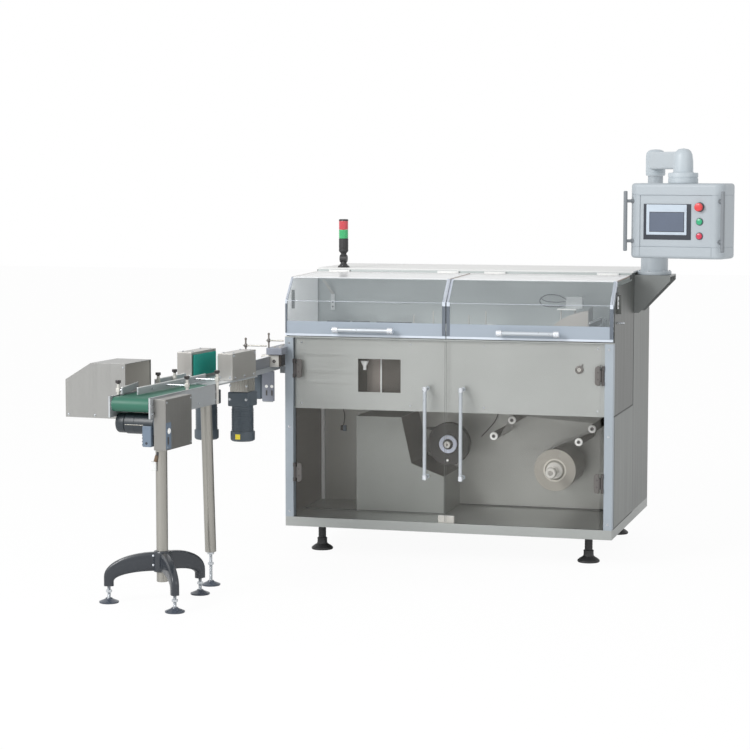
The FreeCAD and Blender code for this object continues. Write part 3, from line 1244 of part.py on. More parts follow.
def stand_posts():
    """The tripod's tube with its head, and the leaning tube under the gates' plate."""
    under = CONVEYOR_BOTTOM - STAND_HEAD_THICKNESS
    tube_one = rod((STAND_X, STAND_Y, STAND_TUBE_BOTTOM), (STAND_X, STAND_Y, under), STAND_TUBE_R)
    wide, long = STAND_HEAD_WIDTH / 2, STAND_HEAD_LENGTH / 2
    head = box(STAND_X - wide, STAND_X + wide, STAND_Y - long, STAND_Y + long, under, CONVEYOR_BOTTOM)
    top = BELT_TOP - GATE_PLATE
    lean = SECOND_STAND_LEAN * 0.02
    reach = 2 * STAND_TUBE_R
    leaning = rod((SECOND_STAND_X - lean, SECOND_STAND_Y, SECOND_TUBE_BOTTOM - 2),
                  (SECOND_STAND_X + SECOND_STAND_LEAN + lean, SECOND_STAND_Y, top + 2), STAND_TUBE_R)
    keep = box(SECOND_STAND_X - reach, SECOND_STAND_X + reach, SECOND_STAND_Y - reach, SECOND_STAND_Y + reach,
               SECOND_TUBE_BOTTOM, top)
    return joined(tube_one, infeed_turned(head)), leaning.common(keep)


def build_stands():
    feet = []
    for angle in TRIPOD_ANGLES:
        turn = math.radians(angle)
        feet.append(stand_foot(STAND_X + TRIPOD_RADIUS * math.cos(turn),
                               STAND_Y + TRIPOD_RADIUS * math.sin(turn), TRIPOD_ARM_BOTTOM))
    feet.append(stand_foot(SECOND_STAND_X, SECOND_STAND_Y, SECOND_TUBE_BOTTOM))
    node("stand_posts", *stand_posts())
    node("tripod_base", tripod_base())
    node("stand_feet", *feet)


def main():
    """Build every node, shift the whole to its origin and write one file for each."""
    build_cabinet()
    build_table_fittings()
    build_film_path()
    build_doors()
    build_covers()
    build_tower()
    build_control_panel()
    build_conveyor()
    build_gates()
    build_bridge()
    build_stands()
    whole = Part.makeCompound([solid for solids in nodes.values() for solid in solids])
    bounds = whole.optimalBoundingBox()
    shift = Vector(-(bounds.XMin + bounds.XMax) / 2, -(bounds.YMin + bounds.YMax) / 2, 0)
    os.makedirs("parts", exist_ok=True)
    for name, solids in nodes.items():
        shape = Part.makeCompound(solids) if len(solids) > 1 else solids[0]
        shape.translate(shift)
        shape.exportStep("parts/%s.step" % name)
    print("origin shift", shift, "size", bounds.XLength, bounds.YLength, bounds.ZMax)


main()
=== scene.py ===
import json
import logging
import math
from dataclasses import dataclass, field
from enum import Enum
from typing import Iterable, Sequence

import bmesh
import bpy
from mathutils import Matrix, Vector

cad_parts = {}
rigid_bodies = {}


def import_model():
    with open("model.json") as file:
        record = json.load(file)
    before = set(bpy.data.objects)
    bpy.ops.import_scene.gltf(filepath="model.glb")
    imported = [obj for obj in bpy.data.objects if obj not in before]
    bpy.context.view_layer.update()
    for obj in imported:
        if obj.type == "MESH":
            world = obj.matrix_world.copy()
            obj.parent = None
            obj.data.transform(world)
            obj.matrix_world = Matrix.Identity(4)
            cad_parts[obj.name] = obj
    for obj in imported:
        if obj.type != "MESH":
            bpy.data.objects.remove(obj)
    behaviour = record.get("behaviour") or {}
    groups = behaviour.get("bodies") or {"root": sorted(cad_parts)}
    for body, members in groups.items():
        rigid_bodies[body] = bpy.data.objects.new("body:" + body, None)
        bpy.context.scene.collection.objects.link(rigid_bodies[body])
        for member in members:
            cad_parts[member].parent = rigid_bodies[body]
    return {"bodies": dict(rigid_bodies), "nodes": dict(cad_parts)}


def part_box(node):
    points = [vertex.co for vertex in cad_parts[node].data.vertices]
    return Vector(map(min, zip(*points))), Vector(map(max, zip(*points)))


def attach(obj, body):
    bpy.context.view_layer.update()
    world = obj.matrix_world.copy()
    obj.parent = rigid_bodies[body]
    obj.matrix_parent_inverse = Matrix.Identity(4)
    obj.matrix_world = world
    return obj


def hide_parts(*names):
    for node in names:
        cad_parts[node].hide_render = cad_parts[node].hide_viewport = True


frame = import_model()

LOG = logging.getLogger("overwrapper")
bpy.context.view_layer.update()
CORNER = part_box("base_frame")[0]

Point = tuple[float, float, float]
Colour = tuple[float, float, float]
Profile = Sequence[tuple[float, float]]


def linear(red: int, green: int, blue: int) -> Colour:
    """Turn a screen colour into the linear values that shaders take.

    Args:
        red: Red from 0 to 255.
        green: Green from 0 to 255.
        blue: Blue from 0 to 255.

    Returns:
        The three linear values.
    """
    def channel(value: int) -> float:
        """One channel, by the usual screen curve."""
        share = value / 255
        return share / 12.92 if share <= 0.04045 else ((share + 0.055) / 1.055) ** 2.4
    return channel(red), channel(green), channel(blue)


def turned(x: float, y: float, degrees: float) -> Matrix:
    """Placement of pieces drawn in millimetres about an upright axis of the machine.

    Args:
        x: The axis's place from the cabinet's left edge, in millimetres.
        y: Its place from the cabinet's front, in millimetres.
        degrees: How far the pieces are turned.

    Returns:
        The matrix from the drawing, whose origin is on the axis, to the scene.
    """
    axis = Matrix.Translation((x, y, 0.0))
    return MACHINE @ axis @ Matrix.Rotation(math.radians(degrees), 4, "Z")


MACHINE = Matrix.Translation((CORNER.x, CORNER.y, 0.0)) @ Matrix.Scale(0.001, 4)
INFEED = turned(-127.0, -1340.0, -5.0)
ARM = turned(1737.0, 700.0, -66.8)
PANEL = turned(1940.59, 224.99, -13.0)


class Grain(Enum):
    """Which way the fine brushing runs on a sheet."""

    LEVEL = (1.2, 1.2, 240.0)
    UPRIGHT = (240.0, 240.0, 1.2)
    NONE = (60.0, 60.0, 60.0)


class Nodes:
    """A small wrapper that builds one node material."""

    def __init__(self, name: str) -> None:
        """Start an empty material with its output and surface shader.

        Args:
            name: The material's name.
        """
        self.material = bpy.data.materials.new(name)
        self.material.use_nodes = True
        self.tree = self.material.node_tree
        self.tree.nodes.clear()
        self.output = self.add("ShaderNodeOutputMaterial")
        self.shader = self.add("ShaderNodeBsdfPrincipled")
        self.link(self.shader, "BSDF", self.output, "Surface")
        self.coords = self.add("ShaderNodeTexCoord")

    def add(self, kind: str, **values: object) -> bpy.types.Node:
        """Add a node and set its properties.

        Args:
            kind: Blender's name for the node.
            **values: Properties of the node.

        Returns:
            The new node.
        """
        node = self.tree.nodes.new(kind)
        for key, value in values.items():
            setattr(node, key, value)
        return node

    def link(self, source: bpy.types.Node, output: str | int, target: bpy.types.Node,
             entry: str | int) -> None:
        """Join one node's output to another's input."""
        self.tree.links.new(source.outputs[output], target.inputs[entry])

    def noise(self, scale: Sequence[float], detail: float = 4.0) -> bpy.types.Node:
        """Noise on object coordinates, stretched by a scale for each axis.

        Args:
            scale: How fast the pattern changes along X, Y and Z, per metre.
            detail: Octaves of the noise.

        Returns:
            The noise node.
        """
        mapping = self.add("ShaderNodeMapping")
        mapping.inputs["Scale"].default_value = tuple(scale)
        self.link(self.coords, "Object", mapping, "Vector")
        noise = self.add("ShaderNodeTexNoise")
        noise.inputs["Scale"].default_value = 1.0
        noise.inputs["Detail"].default_value = detail
        self.link(mapping, "Vector", noise, "Vector")
        return noise

    def ramp(self, source: bpy.types.Node, low: float, high: float,
             to_low: float, to_high: float) -> bpy.types.Node:
        """Map a noise node's range onto another.

        Args:
            source: The noise node.
            low: Value that becomes to_low.
            high: Value that becomes to_high.
            to_low: Result at low.
            to_high: Result at high.

        Returns:
            The map range node.
        """
        node = self.add("ShaderNodeMapRange")
        for entry, value in zip(("From Min", "From Max", "To Min", "To Max"), (low, high, to_low, to_high)):
            node.inputs[entry].default_value = value
        self.link(source, "Fac", node, "Value")
        return node

    def tint(self, factor: bpy.types.Node, colour: Colour, mottle: float) -> None:
        """Let the base colour wander a little about a colour.

        Args:
            factor: Noise node that says where.
            colour: The middle colour.
            mottle: Share by which it gets darker and lighter.
        """
        node = self.add("ShaderNodeMix", data_type="RGBA")
        node.inputs[6].default_value = (*(c * (1 - mottle) for c in colour), 1.0)
        node.inputs[7].default_value = (*(min(1.0, c * (1 + mottle)) for c in colour), 1.0)
        share = self.ramp(factor, 0.3, 0.7, 0.0, 1.0)
        self.link(share, "Result", node, 0)
        self.link(node, 2, self.shader, "Base Color")

    def bump(self, source: bpy.types.Node, strength: float, distance: float) -> None:
        """Raise the surface by a noise node's value."""
        node = self.add("ShaderNodeBump")
        node.inputs["Strength"].default_value = strength
        node.inputs["Distance"].default_value = distance
        self.link(source, "Fac", node, "Height")
        self.link(node, "Normal", self.shader, "Normal")


@dataclass(frozen=True)
class Metal:
    """Brushed or polished sheet metal."""

    name: str
    colour: Colour
    roughness: float = 0.38
    grain: Grain = Grain.LEVEL
    metallic: float = 0.8
    mottle: float = 0.05

    def make(self) -> bpy.types.Material:
        """Build the node material."""
        build = Nodes(self.name)
        build.shader.inputs["Metallic"].default_value = self.metallic
        brushing = build.noise(self.grain.value, 3.0)
        build.tint(build.noise((2.3, 2.3, 2.3), 3.0), self.colour, self.mottle)
        rough = build.ramp(brushing, 0.3, 0.7, self.roughness - 0.07, self.roughness + 0.07)
        build.link(rough, "Result", build.shader, "Roughness")
        if self.grain is not Grain.NONE:
            build.bump(brushing, 0.08, 0.0003)
        return build.material


@dataclass(frozen=True)
class Plastic:
    """Moulded plastic, rubber or paint."""

    name: str
    colour: Colour
    roughness: float = 0.45
    texture: float = 400.0
    bump: float = 0.06
    coat: float = 0.0
    mottle: float = 0.05
    opacity: float = 1.0
    glow: float = 0.0

    def make(self) -> bpy.types.Material:
        """Build the node material."""
        build = Nodes(self.name)
        build.shader.inputs["Coat Weight"].default_value = self.coat
        build.shader.inputs["Alpha"].default_value = self.opacity
        build.shader.inputs["Emission Color"].default_value = (*self.colour, 1.0)
        build.shader.inputs["Emission Strength"].default_value = self.glow
        cloud = build.noise((6.0, 6.0, 6.0), 4.0)
        build.tint(cloud, self.colour, self.mottle)
        rough = build.ramp(cloud, 0.3, 0.7, self.roughness - 0.05, self.roughness + 0.05)
        build.link(rough, "Result", build.shader, "Roughness")
        build.bump(build.noise((self.texture,) * 3, 2.0), self.bump, 0.0003)
        return build.material


STEEL_FRONT = Metal("brushed_front", linear(170, 173, 171))
# Painted shade: the front's brushed steel, darkened to the tone of the shaded right wall; the left wall takes
# it too.
SHADED_SIDE_STEEL = Metal("brushed_side", linear(103, 105, 103), grain=Grain.UPRIGHT)
# Painted shade: the same brushed steel darkened for the right wall's lower door, a little less than the wall
# above it.
SHADED_DOOR_STEEL = Metal("brushed_side_door", linear(124, 127, 125), grain=Grain.UPRIGHT)
# Painted shade: the same brushed steel darkened for the rear cabinet, whose seen face is its right side.
SHADED_REAR_STEEL = Metal("brushed_rear", linear(118, 121, 119), grain=Grain.UPRIGHT)
STEEL_HOOD = Metal("hood_steel", linear(154, 154, 152), roughness=0.4, grain=Grain.UPRIGHT)
STEEL_DRIVE = Metal("drive_steel", linear(136, 135, 132), roughness=0.4, grain=Grain.UPRIGHT)
STEEL_BRACKET = Metal("bracket_steel", linear(136, 139, 138), grain=Grain.UPRIGHT)
HANDLE_STEEL = Metal("handle_steel", linear(184, 190, 196), roughness=0.34, grain=Grain.NONE, metallic=0.35)
STEEL_BACK = Metal("brushed_back", linear(184, 190, 189), roughness=0.45)
STEEL_INNER = Metal("brushed_inner", linear(171, 172, 168), roughness=0.42)
STEEL_SHADE = Metal("brushed_shade", linear(122, 116, 111), roughness=0.45)
# Dark steel for the guide's springs; painted shade where it lines the chute's valley slopes, the bearing
# block's right face and the plates in the lower bay.
DARK_STEEL_AND_SHADE = Metal("dark_steel_and_painted_shade", linear(80, 76, 72), roughness=0.42)
STEEL_CHUTE = Metal("brushed_chute", linear(139, 142, 139), roughness=0.4)
STEEL_GATE = Metal("gate_steel", linear(176, 174, 170), roughness=0.35, grain=Grain.UPRIGHT)
STEEL_BRIGHT = Metal("polished_steel", linear(196, 200, 204), roughness=0.27, grain=Grain.NONE, metallic=0.85)
STEEL_CAP = Metal("bright_cap", linear(222, 226, 232), roughness=0.25, grain=Grain.NONE, metallic=0.6)
STEEL_SATIN = Metal("satin_steel", linear(200, 198, 192), roughness=0.36, grain=Grain.NONE, metallic=0.4)
STEEL_TUBE = Metal("tube_steel", linear(158, 156, 150), roughness=0.3, grain=Grain.UPRIGHT)
CLAMP_GREY = Metal("clamp_metal", linear(108, 105, 103), roughness=0.36, grain=Grain.NONE, metallic=0.5)
HINGE_DARK = Metal("hinge_metal", linear(88, 85, 84), roughness=0.4, grain=Grain.NONE, metallic=0.6)
# The roller bodies, drawn dark brown-grey.
ROLLER_DARK = Metal("roller_body_dark", linear(96, 92, 88), roughness=0.45, grain=Grain.NONE, metallic=0.3)
RAIL = Metal("rail_metal", linear(176, 180, 183), roughness=0.4, metallic=0.5)
RAIL_SHADE = Metal("rail_shade", linear(132, 136, 143), roughness=0.4, metallic=0.5)
GUIDE_SHEET = Metal("guide_sheet", linear(186, 180, 172), roughness=0.5, grain=Grain.NONE, metallic=0.2)
GUIDE_METAL = Metal("guide_metal", linear(136, 140, 150), roughness=0.4, metallic=0.4)
ALUMINIUM = Metal("anodised_aluminium", linear(161, 170, 178), roughness=0.42, grain=Grain.UPRIGHT,
                  metallic=0.4)
BAND = Metal("frosted_band", linear(156, 166, 177), roughness=0.5, metallic=0.15)
SILVER = Metal("display_frame", linear(180, 191, 202), roughness=0.35, grain=Grain.NONE, metallic=0.4)
# Painted sheen: the roof's top drawn matte near-white for the bright studio it reflects; also the pale strip
# over the shaded gap before the cover hinges.
ROOF_SHEEN = Plastic("roof_painted_sheen", linear(226, 226, 225), roughness=0.5, texture=60.0, bump=0.0, mottle=0.01)
SEAM_BROWN = Plastic("seam_brown", linear(150, 138, 130), roughness=0.6)
SEAM_DARK = Plastic("seam_dark", linear(74, 76, 76), roughness=0.6)
# Near-white: the colour of the pale plates, and painted light where it marks a lit strip or top edge.
PALE_AND_LIT = Plastic("pale_and_painted_light", linear(250, 252, 252), roughness=0.5, mottle=0.02)
# Painted light: a glowing white lining for the left wall's upper inner face.
INNER_GLOW = Plastic("inner_painted_light", linear(252, 254, 255), roughness=0.5, mottle=0.01, glow=0.13)
# Painted light: a glowing lining that brightens the hood's shaded inside.
HOOD_GLOW = Plastic("hood_inner_painted_light", linear(160, 158, 152), roughness=0.5, mottle=0.03, glow=0.3)
PANEL_PAINT = Plastic("panel_paint", linear(170, 178, 184), roughness=0.42, mottle=0.02)
# Painted light: the panel's paint made lighter for the arm.
ARM_LIT_PAINT = Plastic("arm_painted_light", linear(184, 193, 199), roughness=0.42, mottle=0.02)
HANDLE_PAINT = Plastic("handle_paint", linear(126, 131, 136), roughness=0.42, mottle=0.02)
PANEL_SEAM = Plastic("panel_seam", linear(80, 89, 95), roughness=0.5)
BLACK_RUBBER = Plastic("black_rubber", linear(48, 48, 49), roughness=0.5)
BLACK_KNOB = Plastic("black_knob", linear(42, 38, 38), roughness=0.35, coat=0.3)
BEZEL = Plastic("display_bezel", linear(40, 46, 56), roughness=0.35)
SLATE = Plastic("moulded_slate", linear(38, 43, 50), roughness=0.35, coat=0.25)
PAD_SLATE = Plastic("pad_slate", linear(58, 66, 78), roughness=0.35, coat=0.3)
REEL_BLACK = Plastic("reel_black", linear(26, 25, 24), roughness=0.55)
MOTOR_PAINT = Plastic("motor_paint", linear(72, 82, 90), roughness=0.4)
# Painted shade: the motor paint darkened for the drive motor under the belt.
MOTOR_SHADED = Plastic("motor_painted_shade", linear(37, 44, 50), roughness=0.4)
TERMINAL_BLUE = Plastic("terminal_blue", linear(99, 113, 129), roughness=0.4)
BELT = Plastic("green_belt", linear(37, 96, 78), roughness=0.5, texture=900.0, bump=0.1)
GATE_TEAL = Plastic("gate_teal", linear(34, 166, 152), roughness=0.45)
# Painted shade: the gate belt's teal darkened in the grooves between its ribs.
GATE_SHADED = Plastic("gate_painted_shade", linear(18, 112, 100), roughness=0.6)
WHITE_PLASTIC = Plastic("white_plastic", linear(226, 227, 226), roughness=0.35)
CAP_WHITE = Plastic("cap_white", linear(252, 252, 248), roughness=0.4)
COOL_WHITE = Plastic("cool_white", linear(206, 214, 224), roughness=0.35)
RING_BLUE = Plastic("ring_blue", linear(190, 196, 212), roughness=0.35)
YELLOW = Plastic("yellow_square", linear(236, 216, 60), roughness=0.5)
CABLE = Plastic("cable_grey", linear(70, 70, 72), roughness=0.5)
GLAND_BROWN = Plastic("gland_brown", linear(112, 92, 72), roughness=0.4)
FILM_WRAP = Plastic("film_wrap", linear(162, 158, 149), roughness=0.3, coat=0.3)
FILM_SIDE = Plastic("film_side", linear(217, 213, 204), roughness=0.2, coat=0.5)
FILM_WEB = Plastic("film_web_clear", linear(196, 196, 192), roughness=0.15, coat=0.5, opacity=0.42)
CORE = Plastic("roll_core", linear(206, 202, 192), roughness=0.6)
RED = Plastic("red_plastic", linear(214, 62, 64), roughness=0.28, coat=0.3)
CRIMSON = Plastic("crimson_plastic", linear(204, 52, 78), roughness=0.28, coat=0.3)
GREEN = Plastic("green_plastic", linear(44, 168, 118), roughness=0.28, coat=0.3)
LENS_RED = Plastic("lens_red", linear(204, 70, 78), roughness=0.2, coat=0.5, opacity=0.94)
LENS_GREEN = Plastic("lens_green", linear(58, 180, 112), roughness=0.2, coat=0.5, opacity=0.94)
SCREEN = Plastic("screen_glass", linear(90, 100, 118), roughness=0.12, coat=0.6)
ACRYLIC = Plastic("acrylic", linear(222, 232, 238), roughness=0.04, bump=0.0, opacity=0.09)
# Painted reflection: clear acrylic drawn near-opaque white for the cover's top run, which mirrors the bright
# studio at a grazing angle.
ACRYLIC_GLARE = Plastic("acrylic_painted_reflection", linear(246, 247, 248), roughness=0.2, bump=0.0, opacity=0.82,
                      mottle=0.01)
ACRYLIC_EDGE = Plastic("acrylic_edge", linear(214, 220, 230), roughness=0.12, bump=0.0, opacity=0.62)
ACRYLIC_DUSK = Plastic("acrylic_dusk", linear(112, 120, 130), roughness=0.2, bump=0.0, opacity=0.8)
CLEAR_BOX = Plastic("clear_box", linear(222, 226, 226), roughness=0.15, bump=0.0, opacity=0.6)
GLASS_EDGE = Plastic("glass_edge", linear(120, 122, 118), roughness=0.2, bump=0.0, opacity=0.75)
DOOR_GLASS = Plastic("door_glass", linear(190, 188, 182), roughness=0.03, bump=0.0, opacity=0.05)

Finish = Metal | Plastic


class Library:
    """Builds each material once and hands it out."""

    def __init__(self) -> None:
        """Start with no materials."""
        self.made: dict[str, bpy.types.Material] = {}

    def get(self, finish: Finish) -> bpy.types.Material:
        """The material of a finish, built on first use."""
        if finish.name not in self.made:
            self.made[finish.name] = finish.make()
        return self.made[finish.name]


LIBRARY = Library()


def node_body(node: str) -> str:
    """The body that a CAD node rides on."""
    parent = frame["nodes"][node].parent
    return next(name for name, empty in frame["bodies"].items() if empty is parent)


class Piece:
    """A new mesh piece, drawn in millimetres and finished in metres."""

    def __init__(self, name: str, place: Matrix = MACHINE) -> None:
        """Start an empty piece.

        Args:
            name: The piece's name.
            place: Matrix from the drawing to the scene.
        """
        self.name = name
        self.place = place
        self.mesh = bpy.data.meshes.new(name)
        self.build = bmesh.new()

    def keep(self, part: bmesh.types.BMesh, finish: Finish, bevel: float = 0.0, segments: int = 2,
             place: Matrix | None = None) -> None:
        """Round a drawn solid's edges and add it to the piece.

        Args:
            part: The solid, which is used up.
            finish: Its finish.
            bevel: Width of the rounding, in the drawing's unit.
            segments: Steps of the rounding.
            place: Placement other than the piece's own.
        """
        bmesh.ops.recalc_face_normals(part, faces=part.faces)
        if bevel:
            sharp = [edge for edge in part.edges if edge.calc_face_angle(0.0) > math.radians(32.0)]
            bmesh.ops.bevel(part, geom=sharp, offset=bevel, segments=segments, profile=0.5, affect="EDGES",
                            clamp_overlap=True, material=-1)
        material = LIBRARY.get(finish)
        if material.name not in self.mesh.materials:
            self.mesh.materials.append(material)
        index = self.mesh.materials.find(material.name)
        for face in part.faces:
            face.material_index = index
            face.smooth = True
        part.transform(self.place if place is None else place)
        scratch = bpy.data.meshes.new("scratch")
        part.to_mesh(scratch)
        part.free()
        self.build.from_mesh(scratch)
        bpy.data.meshes.remove(scratch)

    def block(self, low: Point, high: Point, finish: Finish, bevel: float = 1.2, segments: int = 2) -> None:
        """A block with rounded edges between two corners."""
        size = Vector(high) - Vector(low)
        middle = Matrix.Translation((Vector(high) + Vector(low)) / 2)
        part = bmesh.new()
        bmesh.ops.create_cube(part, size=1.0, matrix=middle @ Matrix.Diagonal((*size, 1.0)))
        self.keep(part, finish, bevel, segments)

    def rod(self, start: Point, end: Point, radius: float, finish: Finish, segments: int = 28,
            bevel: float = 0.6, tip: float | None = None) -> None:
        """A round or many-sided bar, tapered where tip gives its other end's radius."""
        first, axis = Vector(start), Vector(end) - Vector(start)
        turn = axis.to_track_quat("Z", "Y").to_matrix().to_4x4()
        part = bmesh.new()
        bmesh.ops.create_cone(part, cap_ends=True, segments=segments, radius1=radius,
                              radius2=radius if tip is None else tip, depth=axis.length,
                              matrix=Matrix.Translation(first + axis / 2) @ turn)
        self.keep(part, finish, bevel, 1)

    def lathe(self, profile: Profile, base: Point, axis: Point, finish: Finish, segments: int = 40) -> None:
        """A turned solid.

        Args:
            profile: Radius and height points. It closes on the axis, or on itself where it has a bore.
            base: Where height 0 is.
            axis: Direction of the axis.
            finish: Its finish.
            segments: Steps round.
        """
        part = bmesh.new()
        corners = [part.verts.new((radius, 0.0, height)) for radius, height in profile]
        edges = [part.edges.new(pair) for pair in zip(corners, corners[1:])]
        if profile[0][0] > 0.0:
            edges.append(part.edges.new((corners[-1], corners[0])))
        bmesh.ops.spin(part, geom=corners + edges, cent=(0.0, 0.0, 0.0), axis=(0.0, 0.0, 1.0),
                       angle=2 * math.pi, steps=segments, use_merge=True)
        bmesh.ops.remove_doubles(part, verts=part.verts, dist=0.01)
        turn = Vector(axis).to_track_quat("Z", "Y").to_matrix().to_4x4()
        part.transform(Matrix.Translation(base) @ turn)
        self.keep(part, finish)

    def prism(self, outline: Sequence[Point], along: Point, finish: Finish, bevel: float = 1.0,
              segments: int = 2) -> None:
        """A flat outline pushed out along a direction."""
        part = bmesh.new()
        face = part.faces.new([part.verts.new(point) for point in outline])
        pushed = bmesh.ops.extrude_face_region(part, geom=[face])["geom"]
        moved = [item for item in pushed if isinstance(item, bmesh.types.BMVert)]
        bmesh.ops.translate(part, verts=moved, vec=along)
        self.keep(part, finish, bevel, segments)

    def loft(self, rings: Sequence[Sequence[Point]], finish: Finish) -> None:
        """A solid through rings that have the same number of points."""
        part = bmesh.new()
        loops = [[part.verts.new(point) for point in ring] for ring in rings]
        for low, high in zip(loops, loops[1:]):
            for index in range(len(low)):
                after = (index + 1) % len(low)
                part.faces.new((low[index], low[after], high[after], high[index]))
        part.faces.new(loops[0])
        part.faces.new(loops[-1])
        self.keep(part, finish)

    def wire(self, points: Sequence[Point], radius: float, finish: Finish) -> None:
        """A thin lead that is fixed at both ends and bends smoothly through its points."""
        path: list[Vector] = []
        ends = [Vector(points[0]), *map(Vector, points), Vector(points[-1])]
        for before, start, end, after in zip(ends, ends[1:], ends[2:], ends[3:]):
            for step in range(6):
                t = step / 6
                path.append(0.5 * (2 * start + (end - before) * t
                                   + (2 * before - 5 * start + 4 * end - after) * t * t
                                   + (3 * start - before - 3 * end + after) * t ** 3))
        path.append(Vector(points[-1]))
        rings = []
        for index, point in enumerate(path):
            axis = path[min(index + 1, len(path) - 1)] - path[max(index - 1, 0)]
            turn = axis.to_track_quat("Z", "Y")
            angles = [2 * math.pi * side / 8 for side in range(8)]
            rings.append([point + turn @ Vector((math.cos(a), math.sin(a), 0.0)) * radius for a in angles])
        self.loft(rings, finish)

    def bolt(self, place: Point, axis: Point, radius: float = 6.0, finish: Finish = STEEL_BRIGHT) -> None:
        """A hexagon head on its washer."""
        start, way = Vector(place), Vector(axis).normalized()
        self.rod(start, start + way * radius * 0.25, radius * 1.35, finish, 20, 0.2)
        self.rod(start + way * radius * 0.25, start + way * radius, radius, finish, 6, 0.4)

    def thread(self, start: float, end: float, x: float, y: float, radius: float) -> None:
        """An upright threaded stem between two heights."""
        turns = int((end - start) / 3.0)
        profile = [(0.0, start)]
        for turn in range(turns):
            low = start + (end - start) * turn / turns
            profile += [(radius * 0.86, low), (radius, low + (end - start) / turns / 2)]
        self.lathe([*profile, (radius * 0.86, end), (0.0, end)], (x, y, 0.0), (0, 0, 1), STEEL_BRIGHT, 20)

    def copy_of(self, node: str, finish: Finish, bevel: float = 0.8) -> None:
        """Add a CAD node's own shape with softened edges."""
        part = bmesh.new()
        part.from_mesh(frame["nodes"][node].data)
        bmesh.ops.remove_doubles(part, verts=part.verts, dist=1e-5)
        bmesh.ops.dissolve_limit(part, angle_limit=math.radians(1.0), verts=part.verts, edges=part.edges)
        self.keep(part, finish, bevel * 0.001, 2, Matrix.Identity(4))

    def done(self, *nodes: str, body: str | None = None, slot: str | None = None) -> bpy.types.Object:
        """Finish the mesh and hang it on its body.

        Args:
            *nodes: CAD nodes that it stands for.
            body: Its body, where it stands for no node.
            slot: Its material slot, where it stands for no node. It is not used.

        Returns:
            The finished object.
        """
        self.build.to_mesh(self.mesh)
        self.build.free()
        self.mesh.set_sharp_from_angle(angle=math.radians(38.0))
        piece = bpy.data.objects.new(self.name, self.mesh)
        bpy.context.scene.collection.objects.link(piece)
        piece.modifiers.new("shading", "WEIGHTED_NORMAL").keep_sharp = True
        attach(piece, body or node_body(nodes[0]))
        if nodes:
            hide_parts(*nodes)
        LOG.info("made %s with %d faces", self.name, len(self.mesh.polygons))
        return piece


@dataclass
class Studio:
    """Camera, floor, backdrop and light."""

    lens_pixels: float = 2185.7
    yaw: float = math.radians(15.72)
    pitch: float = math.radians(5.38)
    place: Point = (3.372, -10.3245, 1.9204)
    frame_pixels: int = 750
    sensor: float = 36.0

    def add_camera(self) -> None:
        """Put the camera at its place relative to the cabinet's front left corner."""
        data = bpy.data.cameras.new("camera")
        data.sensor_width = self.sensor
        data.lens = self.lens_pixels * self.sensor / self.frame_pixels
        data.clip_end = 60.0
        camera = bpy.data.objects.new("camera", data)
        camera.location = Vector((CORNER.x, CORNER.y, 0.0)) + Vector(self.place)
        camera.rotation_euler = (math.pi / 2 - self.pitch, 0.0, self.yaw)
        bpy.context.scene.collection.objects.link(camera)
        bpy.context.scene.camera = camera

    def add_floor(self) -> None:
        """A wide white floor that keeps a soft contact shadow."""
        mesh = bpy.data.meshes.new("floor")
        build = bmesh.new()
        bmesh.ops.create_grid(build, x_segments=1, y_segments=1, size=30.0)
        build.to_mesh(mesh)
        build.free()
        floor = bpy.data.objects.new("floor", mesh)
        bpy.context.scene.collection.objects.link(floor)
        paper = Nodes("floor_paper")
        paper.shader.inputs["Base Color"].default_value = (0.9, 0.9, 0.9, 1.0)
        paper.shader.inputs["Roughness"].default_value = 0.8
        rays = paper.add("ShaderNodeLightPath")
        share = paper.add("ShaderNodeMath", operation="MULTIPLY")
        share.inputs[1].default_value = 0.95
        glow = paper.add("ShaderNodeEmission")
        mix = paper.add("ShaderNodeMixShader")
        paper.link(rays, "Is Camera Ray", share, 0)
        paper.link(share, "Value", mix, "Fac")
        paper.link(paper.shader, "BSDF", mix, 1)
        paper.link(glow, "Emission", mix, 2)
        paper.link(mix, "Shader", paper.output, "Surface")
        mesh.materials.append(paper.material)

    def add_world(self) -> None:
        """A white surround that lights the machine a little less than it shows."""
        world = bpy.data.worlds.new("studio")
        bpy.context.scene.world = world
        world.use_nodes = True
        tree = world.node_tree
        backdrop = tree.nodes["Background"]
        backdrop.inputs["Color"].default_value = (1.0, 1.0, 1.0, 1.0)
        rays = tree.nodes.new("ShaderNodeLightPath")
        level = tree.nodes.new("ShaderNodeMapRange")
        level.inputs["To Min"].default_value = 0.72
        seen = tree.nodes.new("ShaderNodeMath")
        seen.operation = "MAXIMUM"
        tree.links.new(rays.outputs["Is Camera Ray"], seen.inputs[0])
        tree.links.new(rays.outputs["Is Glossy Ray"], seen.inputs[1])
        tree.links.new(seen.outputs["Value"], level.inputs["Value"])
        tree.links.new(level.outputs["Result"], backdrop.inputs["Strength"])

    def add_lamp(self, name: str, place: Point, size: float, power: float) -> None:
        """A square soft lamp aimed at the middle of the machine.

        Args:
            name: The lamp's name.
            place: Where it stands, in metres.
            size: Its side.
            power: Its power in watts.
        """
        data = bpy.data.lights.new(name, "AREA")
        data.size = size
        data.energy = power
        lamp = bpy.data.objects.new(name, data)
        lamp.location = place
        aim = Vector((0.0, 0.0, 0.9)) - lamp.location
        lamp.rotation_euler = aim.to_track_quat("-Z", "Y").to_euler()
        bpy.context.scene.collection.objects.link(lamp)

    def build(self) -> None:
        """Set the whole studio up."""
        self.add_camera()
        self.add_floor()
        self.add_world()
        self.add_lamp("key", place=(-3.9, -6.0, 4.8), size=3.0, power=385.0)
        self.add_lamp("fill", place=(5.0, -5.0, 3.0), size=3.0, power=50.0)
        bpy.context.scene.view_settings.view_transform = "Standard"


UP: Point = (0.0, 0.0, 1.0)
FRONT: Point = (0.0, -1.0, 0.0)
REAR: Point = (0.0, 1.0, 0.0)
RIGHT: Point = (1.0, 0.0, 0.0)


